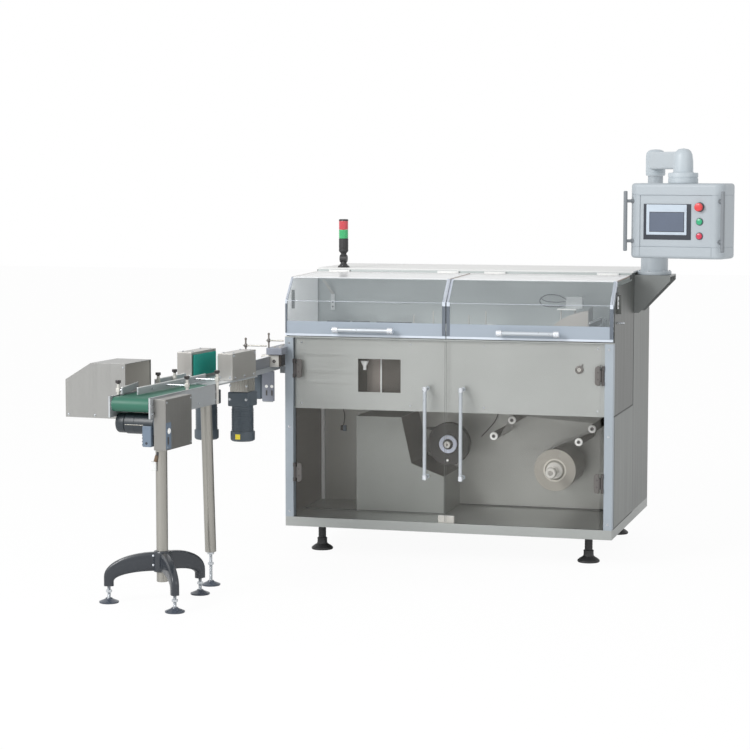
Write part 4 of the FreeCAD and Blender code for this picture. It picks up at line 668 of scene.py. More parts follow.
@dataclass
class Cabinet:
    """The steel cabinet, its feet, table and chute."""

    feet: Sequence[tuple[float, float]] = ((140.0, 171.0), (1508.0, 171.0), (140.0, 1044.0), (1508.0, 1044.0))
    plain: dict[str, Finish] = field(default_factory=lambda: {
        # The side walls and the rear cabinet are drawn in painted shade, and the roof's top in a painted
        # sheen.
        "base_frame": STEEL_FRONT, "front_posts": ALUMINIUM, "left_side_panel": SHADED_SIDE_STEEL,
        "right_side_panel": SHADED_SIDE_STEEL, "rear_cabinet": SHADED_REAR_STEEL, "hinge_beam": STEEL_BACK,
        "roof_panel": ROOF_SHEEN, "front_panel": STEEL_FRONT, "work_table": STEEL_FRONT})

    def build_feet(self) -> None:
        """The four levelling feet."""
        piece = Piece("cabinet_levelling_feet")
        for x, y in self.feet:
            piece.lathe([(0, 0), (52, 0), (55, 4), (54, 10), (45, 18), (30, 27), (25, 34), (24.5, 52),
                         (25.5, 54),
                         (25, 58), (20, 61), (19, 64), (19, 138), (17, 140), (0, 140)], (x, y, 0), UP,
                        BLACK_RUBBER)
            for z in (70.0, 84.0, 98.0):
                piece.lathe([(18.5, z), (19.6, z + 1), (19.6, z + 6), (18.5, z + 7)], (x, y, 0), UP,
                            BLACK_RUBBER)
        piece.done("cabinet_feet")

    def build_back_plate(self) -> None:
        """The inner wall with its bosses and axle ends, and a near-white strip at its left seam as painted
        light.
        """
        piece = Piece("inner_back_wall")
        piece.copy_of("back_plate", STEEL_INNER, 0.5)
        # Painted light: a near-white strip along the wall's left seam.
        piece.block((7, 590, 190), (23, 605.5, 1085), PALE_AND_LIT, 1.0)
        for x, z in ((1111.5, 683.0), (1020.0, 601.0), (1513.0, 652.0), (1447.0, 585.0)):
            piece.rod((x, 203, z), (x, 200, z), 7, BLACK_RUBBER, 20)
        piece.rod((763, 286, 540), (763, 280, 540), 17, STEEL_SATIN, 28)
        piece.rod((763, 280.2, 540), (763, 279.4, 540), 6, STEEL_SHADE, 28, 0)
        piece.done("back_plate")

    def build_chute(self) -> None:
        """The chute, with painted shade: a shaded sheet on its right face and darkened sloped sides inside
        its valley.
        """
        piece = Piece("trim_chute")
        piece.copy_of("waste_chute", STEEL_CHUTE, 1.0)
        # Painted shade: a sheet on the chute's right face, then both sloped sides of the valley.
        piece.block((751.8, 264, 200), (752.6, 602, 376), STEEL_SHADE, 0)
        left, valley = 530.0, 583.0
        piece.prism([(left + 1, 262, 674), (valley, 262, 443.2), (valley, 604, 443.2), (left + 1, 604, 674)],
                    (0.7, 0, 0.3), DARK_STEEL_AND_SHADE, 0)
        piece.prism([(valley, 262, 442), (752, 262, 380.4), (752, 604, 380.4), (valley, 604, 442)],
                    (0.2, 0, 0.7), DARK_STEEL_AND_SHADE, 0)
        piece.done("waste_chute")

    def build_walls(self) -> None:
        """The inner faces of the side walls, and the seams of the right wall's lower door. The left wall's
        upper inner face is a glowing lining as painted light, its lower one a sheet of painted shade, and the
        lower door is painted shade too.
        """
        piece = Piece("cabinet_walls")
        # Painted light: the glowing lining on the left wall's upper inner face.
        piece.prism([(6, 60, 1100), (6, 12, 1100), (6, 12, 1262), (6, 106, 1374), (6, 534, 1384),
                     (6, 534, 1100)],
                    (0.5, 0, 0), INNER_GLOW, 0)
        # Painted shade: a sheet on the left wall's lower inner face, and the right wall's lower door in
        # darkened steel.
        piece.block((6, 24, 190), (6.5, 589, 1084), STEEL_SHADE, 0)
        piece.block((1650, 44, 192), (1651.5, 600, 732), SHADED_DOOR_STEEL, 0.5)
        piece.block((1650, 24, 733), (1650.8, 604, 739), SEAM_DARK, 0)
        piece.block((1650, 602, 186), (1650.8, 608, 1388), SEAM_DARK, 0)
        piece.block((43, 21, 740), (45.5, 24.4, 1088), SEAM_DARK, 0)
        piece.block((24, 257, 190), (752, 262, 194), SEAM_DARK, 0)
        piece.block((752, 596, 190), (1644, 602, 194), SEAM_DARK, 0)
        piece.block((1650, 24, 186), (1650.8, 604, 190), SEAM_DARK, 0)
        piece.prism([(78, 530, 1192), (100, 530, 1192), (100, 530, 1276), (78, 530, 1276)], (0, 3, 0),
                    PALE_AND_LIT, 0.6)
        piece.prism([(40, 500, 1350), (54, 500, 1352), (100, 528, 1276), (82, 528, 1276)], (0, 3, 0),
                    STEEL_SATIN, 0.6)
        for z in (1210.0, 1234.0):
            piece.rod((89, 530, z), (89, 529, z), 4, SEAM_DARK, 20, 0)
        piece.block((1650.2, 60, 1250), (1656, 96, 1332), SEAM_DARK, 2)
        piece.block((1655.6, 66, 1252), (1658, 92, 1312), PALE_AND_LIT, 1)
        for z in (1264.0, 1290.0):
            piece.rod((1657.8, 80, z), (1659, 80, z), 5, SEAM_DARK, 20, 0)
        for x0, x1 in ((82, 206), (218, 312), (348, 535)):
            piece.block((x0, 447, 1092), (x1, 455, 1142), SEAM_DARK, 1)
        piece.done(body=node_body("base_frame"), slot="cabinet_steel")

    def build_trim(self) -> None:
        """Bolts, latch studs and small brackets that stay with the cabinet."""
        piece = Piece("cabinet_trim")
        piece.rod((1650, 96, 1183), (1686, 96, 1183), 5, STEEL_BRIGHT)
        piece.block((1650, 470, 1374), (1656, 520, 1398), SEAM_DARK, 1)
        for x in (21.0, 1629.0):
            for z in (215.0, 640.0, 1060.0):
                piece.bolt((x, 0, z), FRONT, 4.5)
        for x in (80.0, 640.0, 1010.0, 1570.0):
            piece.bolt((x, 24, 1062), FRONT, 4)
            piece.bolt((x, 24, 760), FRONT, 4)
        # Plates in the lower bay: the dark and shaded steel are painted shade, and the near-white strip
        # between them a painted highlight.
        piece.block((340, 122, 800), (392, 126, 990), DARK_STEEL_AND_SHADE, 1)
        piece.block((392, 124, 800), (461, 128, 990), STEEL_SHADE, 1)
        piece.block((461, 118, 800), (467, 128, 990), PALE_AND_LIT, 1)
        piece.block((467, 124, 800), (640, 128, 990), DARK_STEEL_AND_SHADE, 1)
        piece.loft([[(384, 74, 927), (397, 74, 927), (397, 88, 927), (384, 88, 927)],
                    [(384, 74, 944), (397, 74, 944), (397, 88, 944), (384, 88, 944)],
                    [(374, 64, 972), (408, 64, 972), (408, 98, 972), (374, 98, 972)]], PALE_AND_LIT)
        piece.done(body=node_body("base_frame"), slot="cabinet_steel")

    def build(self) -> None:
        """Make every piece of the cabinet."""
        for node, finish in self.plain.items():
            piece = Piece("dressed_" + node)
            piece.copy_of(node, finish, 0.6 if node == "front_panel" else 1.0)
            piece.done(node)
        self.build_feet()
        self.build_back_plate()
        self.build_chute()
        self.build_walls()
        self.build_trim()


@dataclass
class TableFittings:
    """Pins, platform, sensor head and side guide on the work table."""

    top: float = 1092.0

    def build_platform(self) -> None:
        """The measuring platform with its clear-fronted head, and the four pins."""
        piece = Piece("measuring_platform")
        z = self.top
        for x, y, height in ((625, 150, 108), (724, 150, 130), (893, 200, 108), (979, 200, 130)):
            piece.rod((x, y, z), (x, y, z + 60), 5.5, STEEL_SATIN)
            piece.rod((x, y, z + 60), (x, y, z + height), 3.6, STEEL_SATIN)
        for x in (1331, 1401):
            piece.rod((x, 330, z), (x, 330, z + 136), 5, STEEL_SATIN)
            piece.rod((x, 330, z), (x, 330, z + 10), 11, STEEL_SHADE)
        piece.block((1318, 290, z + 136), (1414, 370, z + 142), CAP_WHITE)
        piece.block((1358, 310, z + 142), (1440, 350, z + 202), CLEAR_BOX, 3)
        piece.wire([(1360, 330, z + 160), (1310, 340, z + 150), (1240, 352, z + 152), (1218, 356, z + 178),
                    (1250, 352, z + 205), (1310, 344, z + 206), (1350, 336, z + 190), (1362, 332, z + 185)],
                   3, CABLE)
        piece.wire([(1361, 326, z + 176), (1300, 330, z + 172), (1246, 336, z + 178), (1226, 340, z + 196)],
                   2.4, CABLE)
        piece.lathe([(30, 0), (38, 0), (38, 58), (30, 58)], (972, 280, z), UP, CAP_WHITE)
        piece.done("table_fittings")

    def build_guide(self) -> None:
        """The side guide with its lead-in, tie bolts and springs."""
        piece = Piece("side_guide")
        piece.copy_of("product_guide", STEEL_BRIGHT, 0.8)
        for y in (170.0, 290.0, 400.0):
            piece.bolt((1541, y, self.top + 24), RIGHT, 4)
            for turn in range(6):
                piece.rod((1546 + 4 * turn, y, self.top + 24), (1548 + 4 * turn, y, self.top + 24), 7,
                          DARK_STEEL_AND_SHADE, 18, 0.4)
        piece.prism([(1292, 300, 1092), (1292, 300, 1147), (1335, 300, 1180), (1381, 300, 1203),
                     (1432, 300, 1219),
                     (1470, 300, 1226), (1470, 300, 1092)], (0, 3, 0), GUIDE_SHEET, 0.6)
        piece.prism([(1470, 300, 1092), (1470, 300, 1228), (1470, 430, 1240), (1470, 430, 1092)], (3, 0, 0),
                    GUIDE_SHEET, 0.6)
        # A painted highlight along the lead-in's top edge, and painted shade on the sheet below it.
        piece.prism([(1476, 304, 1160), (1476, 304, 1170), (1516, 436, 1188), (1516, 436, 1178)], (4, 0, 0),
                    PALE_AND_LIT, 0.6)
        piece.prism([(1474, 304, 1092), (1474, 304, 1160), (1514, 436, 1178), (1514, 436, 1092)], (4, 0, 0),
                    STEEL_SHADE, 0.6)
        piece.done("product_guide")

    def build(self) -> None:
        """Make the fittings."""
        self.build_platform()
        self.build_guide()


@dataclass
class FilmPath:
    """Film roll, shaft, guide rollers, film and tape reel."""

    roll: Point = (1319.0, 0.0, 434.0)
    roll_radius: float = 105.0
    roll_ends: tuple[float, float] = (260.0, 530.0)
    core_radius: float = 57.3
    roller_ends: tuple[float, float] = (205.0, 555.0)
    roller_cap: float = 9.0
    roller_bore: float = 8.1
    rollers: Sequence[tuple[float, float]] = ((1111.5, 683.0), (1020.0, 601.0), (1513.0, 652.0),
                                              (1447.0, 585.0))
    reel: Point = (763.0, 0.0, 540.0)

    def build_roll(self) -> None:
        """The wound film with its paper core, and the shaft that carries it."""
        x, _, z = self.roll
        edge, core = self.roll_radius, self.core_radius
        front, back = self.roll_ends
        wound = Piece("wound_film", MACHINE)
        rings = [(edge, back), (edge, front + 1.0), (edge - 1.0, front)]
        for step in range(6):
            radius = edge - 7.0 * (step + 1)
            rings += [(radius + 0.8, front), (radius, front + 0.9), (radius - 0.8, front)]
        wound.lathe([(core, back), *rings, (core, front)], (x, 0, z), REAR, FILM_WRAP, 64)
        skin = edge - 0.4
        wound.lathe([(skin, back - 0.5), (edge, back - 0.5), (edge, front + 2.5), (skin, front + 2.5)],
                    (x, 0, z), REAR, FILM_SIDE, 64)
        wound.lathe([(49, back), (core, back), (core, front - 0.6), (56, front - 1.4), (50, front - 1.4),
                     (49, front - 0.6)], (x, 0, z), REAR, CORE, 48)
        wound.done("film_roll")
        shaft = Piece("film_roll_shaft")
        shaft.lathe([(0, 145), (24, 145), (27, 148), (27, 152), (25, 154), (25, 158), (27, 160), (27, 172),
                     (24, 175),
                     (20, 176), (20, 215), (23, 216), (23, 228), (20, 229), (20, 244), (40, 246), (48, 262),
                     (48, 290),
                     (20, 291), (20, 501), (48, 501), (48, 530), (20, 530), (20, 602), (0, 602)],
                    (x, 0, z), REAR, STEEL_SATIN, 40)
        shaft.rod((x, 146, z), (x, 143, z), 12, STEEL_TUBE, 28)
        shaft.rod((x, 165, z - 27), (x, 165, z - 42), 4, STEEL_SATIN, 20)
        shaft.done("film_shaft")

    def build_rollers(self) -> None:
        """The four guide rollers with their white end caps."""
        front, back = self.roller_ends
        cap, bore = self.roller_cap, self.roller_bore
        for index, (x, z) in enumerate(self.rollers, start=1):
            piece = Piece("film_roller_%d" % index)
            piece.lathe([(bore, front + cap), (19.6, front + cap), (19.6, back - cap), (bore, back - cap)],
                        (x, 0, z), REAR, ROLLER_DARK, 36)
            for low in (front, back - cap):
                piece.lathe([(bore, low), (17, low), (20, low + 3), (20, low + cap), (bore, low + cap)],
                            (x, 0, z), REAR, CAP_WHITE, 36)
            piece.lathe([(bore, front - 0.6), (9.4, front - 0.6), (9.4, front + 0.2), (bore, front + 0.2)],
                        (x, 0, z), REAR, STEEL_SHADE, 28)
            piece.done("guide_roller_%d" % index)

    def build_reel(self) -> None:
        """The tape reel with its pale ring, and the film's flat runs."""
        x, _, z = self.reel
        piece = Piece("tape_spool")
        piece.lathe([(12.7, 310), (46, 310), (48, 312), (98, 312), (101, 310), (106, 310), (108, 312),
                     (108, 356),
                     (106, 357.6), (12.7, 357.6)], (x, 0, z), REAR, REEL_BLACK, 64)
        piece.lathe([(27, 300), (44, 300), (46, 302), (46, 312), (27, 312)], (x, 0, z), REAR, RING_BLUE,
                    48)
        for turn in range(3):
            angle = math.radians(90 + 120 * turn)
            piece.bolt((x + 36.5 * math.cos(angle), 300, z + 36.5 * math.sin(angle)), FRONT, 2.2, STEEL_SATIN)
        piece.rod((x - 4, 311, z - 83), (x - 4, 307, z - 83), 6, CAP_WHITE, 20)
        piece.done("tape_reel")
        film = Piece("film_runs")
        film.copy_of("film_web", FILM_WEB, 0)
        film.done("film_web")

    def build_leads(self) -> None:
        """Two thin leads fixed along the back wall, with their connector."""
        piece = Piece("compartment_leads")
        piece.wire([(962, 600, 745), (960, 596, 690), (944, 590, 636), (904, 592, 585), (868, 600, 548)], 2.6,
                   CABLE)
        piece.wire([(112, 600, 745), (120, 596, 690), (133, 594, 640), (130, 594, 600), (122, 598, 574)], 2.6,
                   CABLE)
        piece.rod((118, 598, 582), (118, 598, 556), 8, BLACK_RUBBER, 20)
        piece.block((124, 590, 552), (142, 604, 584), TERMINAL_BLUE, 2)
        piece.prism([(636, 330, 617), (636, 330, 614), (690, 330, 600), (716, 330, 610), (716, 330, 624)],
                    (0, 20, 0),
                    REEL_BLACK, 1)
        piece.done(body=node_body("back_plate"), slot="dark_plastic")

    def build(self) -> None:
        """Make the film path."""
        self.build_roll()
        self.build_rollers()
        self.build_reel()
        self.build_leads()


@dataclass
class Doors:
    """Glass doors with clamps and handles, the lock and the catch."""

    heights: Sequence[float] = (366.0, 887.0)
    clamp_height: float = 94.0
    clamp_corner: float = 14.0

    def build_fittings(self, side: str, axis: float, way: int, handle: float) -> None:
        """One door's glass, clamps and bar handle.

        Args:
            side: "left" or "right".
            axis: X of the hinge's pin.
            way: 1 where the door lies right of its pin, else -1.
            handle: X of the handle.
        """
        glass = Piece(side + "_door_pane")
        glass.copy_of(side + "_door_glass", DOOR_GLASS, 0.8)
        meet = 820.5 if way == 1 else 827.5
        glass.block((meet, -3.4, 193), (meet + 2, -3, 1081), GLASS_EDGE, 0)
        glass.done(side + "_door_glass")
        piece = Piece(side + "_door_hardware")
        for z in self.heights:
            top, turn = z + self.clamp_height, self.clamp_corner
            for y in (-9.0, 3.1):
                plate = [(axis + way * 13, y, z), (axis + way * 13, y, top)]
                for middle, start in ((top - turn, 90.0), (z + turn, 0.0)):
                    for step in range(7):
                        angle = math.radians(start - 15 * step)
                        plate.append((axis + way * (37 - turn + turn * math.cos(angle)), y,
                                      middle + turn * math.sin(angle)))
                piece.prism(plate, (0, 5.9, 0), CLAMP_GREY, 1.4)
                neck = sorted((axis + way * 6, axis + way * 14))
                piece.block((neck[0], y, z + 20), (neck[1], y + 5.9, z + 74), HINGE_DARK, 0.6)
            piece.lathe([(5.05, z + 20), (8, z + 20), (8, z + 74), (5.05, z + 74)], (axis, 0, 0), UP,
                        HINGE_DARK)
            for up in (30.0, 64.0):
                piece.rod((axis + way * 22, -9, z + up), (axis + way * 22, -9.6, z + up), 4, HINGE_DARK, 24,
                          0.2)
        y, low, high = -63.0, 407.0, 864.0
        piece.rod((handle, y, low + 12), (handle, y, high - 12), 9, HANDLE_STEEL, 32)
        for z in (low, high - 24):
            piece.rod((handle, y, z), (handle, y, z + 24), 12, STEEL_CAP, 32, 2)
            piece.rod((handle, y, z + 12), (handle, -3, z + 12), 8, HANDLE_STEEL)
            piece.rod((handle, -9, z + 12), (handle, -3, z + 12), 11, HANDLE_STEEL)
        piece.done(side + "_door_fittings")

    def build(self) -> None:
        """Make both doors, the hinge blocks, the lock and the catch."""
        self.build_fittings("left", 51.0, 1, 735.0)
        self.build_fittings("right", 1599.0, -1, 915.0)
        blocks = Piece("door_hinge_lugs")
        blocks.copy_of("door_hinge_blocks", HINGE_DARK, 0.8)
        blocks.done("door_hinge_blocks")
        piece = Piece("lock_and_stop")
        piece.lathe([(0, 0), (20, 0), (20, 6), (17, 8.5), (13, 9), (12, 7.5), (0, 7.5)], (1481, 24, 959),
                    FRONT,
                    CLAMP_GREY)
        piece.rod((1481, 17, 959), (1481, 14.6, 959), 9, STEEL_SATIN, 28)
        piece.block((1479.8, 14.2, 954), (1482.2, 14.8, 964), HINGE_DARK, 0)
        piece.prism([(1487, 15, 972), (1493, 15, 970), (1500, 15, 984), (1496, 15, 987)], (0, 4, 0),
                    CLAMP_GREY, 0.8)
        piece.block((785, 12, 187), (865, 30, 223), STEEL_SATIN, 2)
        piece.block((786, 11.6, 221), (864, 14, 223.4), WHITE_PLASTIC, 0.4)
        piece.done("lock_and_catch")


@dataclass
class Covers:
    """The two lifting acrylic covers."""

    bottom: float = 1097.0
    band_top: float = 1170.0
    bend: float = 1272.0
    shoulder: tuple[float, float] = (104.0, 1384.0)
    back: tuple[float, float] = (534.0, 1392.0)
    sheet: float = 5.0

    def sheet_run(self, piece: Piece, x0: float, x1: float, run: Sequence[tuple[float, float]],
                  finish: Finish, thick: float) -> None:
        """One flat stretch of bent sheet between two X places.

        Args:
            piece: Where it goes.
            x0: Left edge.
            x1: Right edge.
            run: Outer start and end as depth and height.
            finish: Its finish.
            thick: How far it reaches inwards.
        """
        (y0, z0), (y1, z1) = run
        length = math.hypot(y1 - y0, z1 - z0)
        inward = ((z1 - z0) / length * thick, -(y1 - y0) / length * thick)
        outline = [(x0, y0, z0), (x0, y1, z1), (x0, y1 + inward[0], z1 + inward[1]),
                   (x0, y0 + inward[0], z0 + inward[1])]
        piece.prism(outline, (x1 - x0, 0, 0), finish, 0)

    def build_cover(self, side: str, x0: float, x1: float, handle: float) -> None:
        """One cover with its frosted band, bright edges, handle and hinge leaf.

        Args:
            side: "left" or "right".
            x0: Its left edge.
            x1: Its right edge.
            handle: Where its handle starts.
        """
        piece = Piece(side + "_cover_sheet")
        front, bend = (0.0, self.band_top), (0.0, self.bend)
        # The top run's near-opaque white is a painted reflection.
        runs = (((front, bend), ACRYLIC, ACRYLIC_DUSK), ((bend, self.shoulder), ACRYLIC, ACRYLIC_EDGE),
                ((self.shoulder, self.back), ACRYLIC_GLARE, SEAM_BROWN))
        for run, finish, rim in runs:
            deep = self.sheet if rim is SEAM_BROWN else 22.0
            self.sheet_run(piece, x0 + self.sheet, x1 - self.sheet, run, finish, self.sheet)
            self.sheet_run(piece, x0, x0 + self.sheet, run, rim, deep)
            self.sheet_run(piece, x1 - self.sheet, x1, run, rim, deep)
        for x, wide in ((x0, 9 if side == "left" else 17), (x1 - 17, 17)):
            piece.block((x, -1.4, self.bottom + 14), (x + wide, 0.2, self.bend - 16), ACRYLIC_DUSK, 0)
            piece.block((x, -1.6, self.bend - 18), (x + wide, 6, self.bend + 4), COOL_WHITE, 2)
            self.sheet_run(piece, x, x + min(wide, 11), (bend, self.shoulder), ACRYLIC_EDGE, 0.4)
        for y, z in (bend, self.shoulder):
            piece.block((x0 + 5, y + 0.5, z - 3), (x1 - 5, y + 4, z - 0.5), ACRYLIC_EDGE, 1)
        piece.block((x0, 0, self.bottom + 11), (x1, 5, self.band_top), BAND, 0.8)
        piece.block((x0, -1, self.bottom), (x1, 5, self.bottom + 11), COOL_WHITE, 0.8)
        piece.done(side + "_cover")
        fittings = Piece(side + "_cover_hardware")
        y, z = -42.0, self.bottom + 35
        end = handle + 310
        fittings.rod((handle + 26, y, z), (end - 26, y, z), 10.4, HANDLE_STEEL, 36)
        for start, stop in ((handle, handle + 30), (end - 30, end)):
            fittings.rod((start, y, z), (stop, y, z), 15.4, STEEL_CAP, 36, 2.5)
            middle = (start + stop) / 2
            fittings.rod((middle, y, z), (middle, 0, z), 7, HANDLE_STEEL)
        # Painted light: a pale strip over the gap before the hinge, where the hinge beam lies in shade.
        fittings.block((x0 + 4, 486, 1391.5), (x1 - 4, 512, 1393.2), ROOF_SHEEN, 0.4)
        for centre in (x0 + 120, x1 - 120):
            fittings.block((centre - 45, 494, 1391.5), (centre + 45, 536, 1394.2), CAP_WHITE, 0.6)
            fittings.lathe([(2.55, -45), (5, -45), (5, 45), (2.55, 45)], (centre, 539, 1397), RIGHT,
                           WHITE_PLASTIC, 24)
            for step in (-30.0, 0.0, 30.0):
                fittings.bolt((centre + step, 508, 1394), UP, 2.6, WHITE_PLASTIC)
        fittings.done(side + "_cover_fittings")

    def build(self) -> None:
        """Make both covers and the hinge brackets."""
        self.build_cover("left", 2.5, 822.5, 258.0)
        self.build_cover("right", 827.5, 1647.5, 1084.0)
        brackets = Piece("cover_hinge_lugs")
        brackets.copy_of("cover_hinge_brackets", WHITE_PLASTIC, 0.6)
        brackets.done("cover_hinge_brackets")


@dataclass
class SignalTower:
    """The two-colour signal lamp on the roof."""

    x: float = 120.0
    y: float = 625.0
    foot: float = 1410.0

    def build(self) -> None:
        """Make the stem with its pivot, both lenses and the cap."""
        base = (self.x, self.y, self.foot)
        stem = Piece("tower_stem")
        stem.lathe([(0, 0), (30, 0), (30, 6), (28, 8), (24, 9), (15, 22), (14, 30), (14, 70), (17, 76),
                    (24.5, 84),
                    (24.5, 98), (23.6, 99), (23.6, 101), (24.5, 102), (24.5, 150), (0, 150)], base, UP,
                   BLACK_RUBBER, 48)
        stem.rod((self.x - 17, self.y, self.foot + 46), (self.x + 17, self.y, self.foot + 46), 21,
                 BLACK_RUBBER, 36)
        stem.lathe([(0, 242), (24.5, 242), (24.5, 247), (22, 250.6), (14, 251), (0, 251)], base, UP,
                   BLACK_RUBBER, 48)
        for turn in range(3):
            angle = math.radians(30 + 120 * turn)
            stem.bolt((self.x + 25 * math.cos(angle), self.y + 25 * math.sin(angle), self.foot + 7.6), UP,
                      2.2)
        stem.done("signal_tower")
        for node, low, finish in (("tower_green_lens", 150.0, LENS_GREEN),
                                  ("tower_red_lens", 196.0, LENS_RED)):
            lens = Piece(node + "_ribbed")
            profile = [(0.0, low)]
            for rib in range(9):
                profile += [(23.9, low + 5 * rib + 1), (24.5, low + 5 * rib + 3)]
            lens.lathe([*profile, (23.9, low + 46), (0, low + 46)], base, UP, finish, 40)
            lens.done(node)


@dataclass
class ControlPanel:
    """Bracket, column, arm, housing and controls."""

    half: float = 238.0
    deep: float = 98.0
    corner: float = 44.0
    low: float = 1494.0
    high: float = 1853.0

    def outline(self, inset: float, recess: float, z: float) -> list[Point]:
        """The housing's outline at one height.

        Args:
            inset: How far it lies inside the widest outline.
            recess: Depth of the face between its side edges.
            z: The height.

        Returns:
            Points round the housing, the face's own four last.
        """
        radius = self.corner - inset
        centres = ((1, -1, -90), (1, 1, 0), (-1, 1, 90), (-1, -1, 180))
        points = []
        for sx, sy, start in centres:
            cx, cy = sx * (self.half - self.corner), sy * (self.deep - self.corner)
            for step in range(10):
                angle = math.radians(start + 10 * step)
                points.append((cx + radius * math.cos(angle), cy + radius * math.sin(angle), z))
        front = inset - self.deep
        return points + [(-182, front, z), (-181.5, front + recess, z), (181.5, front + recess, z),
                         (182, front, z)]

    def build_housing(self) -> None:
        """The moulded housing: two end caps and the middle with the recessed face."""
        piece = Piece("panel_housing", PANEL)
        lower, upper = self.low + 55.5, self.high - 56.0
        rounded = [(14, 0), (9, 1.2), (4, 4.5), (1, 10), (0, 16)]
        low_cap = [(i, self.low + up) for i, up in rounded] + [(0, lower - 1.5), (1.4, lower)]
        top_cap = [(1.4, upper), (0, upper + 1.5)] + [(i, self.high - up) for i, up in rounded[::-1]]
        middle = [(1.4, lower), (0, lower + 1.5), (0, upper - 1.5), (1.4, upper)]
        for rings, recess in ((low_cap, 0.0), (middle, 5.0), (top_cap, 0.0)):
            piece.loft([self.outline(inset, recess, z) for inset, z in rings], PANEL_PAINT)
        for x in (-182.0, 182.0):
            piece.block((x - 0.7, -98.3, self.low + 12), (x + 0.7, -97.4, lower - 2), PANEL_SEAM, 0)
        for x in (-190.0, 190.0):
            for z in (self.low + 28, self.high - 26):
                piece.rod((x, 97.8, z), (x, 99, z), 5, PANEL_SEAM, 20)
        piece.done("hmi_box")

    def build_face(self) -> None:
        """The display with its frame, the three buttons and both handles."""
        screen = Piece("panel_display", PANEL)
        screen.block((-163, -95, 1584), (78, -92.9, 1755), BEZEL, 0.8)
        screen.block((-148, -98, 1607), (57, -94.8, 1752), SILVER, 1.4, 3)
        screen.block((-132, -98.4, 1621), (45, -97.6, 1717), BEZEL, 0.2)
        screen.block((-129, -98.8, 1624), (42, -98.2, 1714), SCREEN, 0.1)
        screen.done("hmi_screen")
        buttons = Piece("panel_buttons", PANEL)
        for z, radius, reach, finish in ((1741, 20, 26, RED), (1671.5, 15, 10, GREEN),
                                         (1603, 15, 10, CRIMSON)):
            buttons.lathe([(0, 0), (radius + 3, 0), (radius + 3, 2.5), (radius + 2, 4), (0, 4)],
                          (121, -93, z), FRONT,
                          PANEL_SEAM)
            buttons.lathe([(0, 4), (radius * 0.8, 4), (radius * 0.8, reach * 0.45), (radius, reach * 0.5),
                           (radius, reach - 4), (radius * 0.86, reach - 1), (radius * 0.5, reach),
                           (0, reach)],
                          (121, -93, z), FRONT, finish)
        buttons.done("hmi_buttons")
        handles = Piece("panel_handles", PANEL)
        for side in (-1, 1):
            x, y = side * 246.0, -122.0
            handles.lathe([(0, 1528), (7, 1528), (9.5, 1531), (9.5, 1813), (7, 1816), (0, 1816)], (x, y, 0),
                          UP,
                          HANDLE_PAINT)
            for z in (1576.0, 1768.0):
                handles.rod((x, y, z), (side * 219, -87, z), 7.5, HANDLE_PAINT)
                handles.rod((side * 225, -94.8, z), (side * 219, -87, z), 11, HANDLE_PAINT)
        handles.done("hmi_handles")

    def build_arm(self) -> None:
        """Bracket, flanged column, and the arm with its elbow and dome."""
        bracket = Piece("panel_gusset")
        bracket.copy_of("panel_bracket", STEEL_BRACKET, 0.8)
        for y in (640.0, 785.0):
            bracket.bolt((1656, y, 1340), RIGHT, 6)
        bracket.done("panel_bracket")
        axis = (1737.0, 700.0, 0.0)
        column = Piece("panel_column")
        column.lathe([(0, 1390), (84, 1390), (86, 1392), (86, 1405), (84, 1408), (70, 1409), (68, 1412),
                      (68, 1482),
                      (64, 1489), (40, 1491), (38, 1494), (38, 1886.8), (0, 1886.8)], axis, UP, PANEL_PAINT,
                     56)
        for turn in range(6):
            angle = math.radians(15 + 60 * turn)
            column.bolt((1737 + 77.5 * math.cos(angle), 700 + 77.5 * math.sin(angle), 1407.6), UP, 5)
        column.done("arm_column")
        # Painted light: the arm is drawn in a lighter copy of the column's paint.
        arm = Piece("panel_arm", ARM)
        arm.lathe([(0, 1887.4), (45, 1887.4), (47, 1890), (49, 1896), (49, 1903), (48, 1904), (48, 1906),
                   (49, 1907),
                   (49, 1985), (47, 2000), (38, 2012), (22, 2018.5), (0, 2020)], (0, 0, 0), UP, ARM_LIT_PAINT, 56)
        arm.block((0, -42, 1920), (516.8, 42, 2005), ARM_LIT_PAINT, 10, 4)
        arm.lathe([(0, 1853.4), (70, 1853.4), (72, 1855), (72, 1876), (69.5, 1877), (69.5, 1882), (72, 1883),
                   (72, 1899),
                   (70, 1903), (52, 1904), (48, 1908), (47, 1960), (43, 1990), (36, 2006), (24, 2016),
                   (0, 2020)],
                  (516.8, 0, 0), UP, ARM_LIT_PAINT, 56)
        arm.done("swing_arm")

    def build(self) -> None:
        """Make the whole control station."""
        self.build_arm()
        self.build_housing()
        self.build_face()


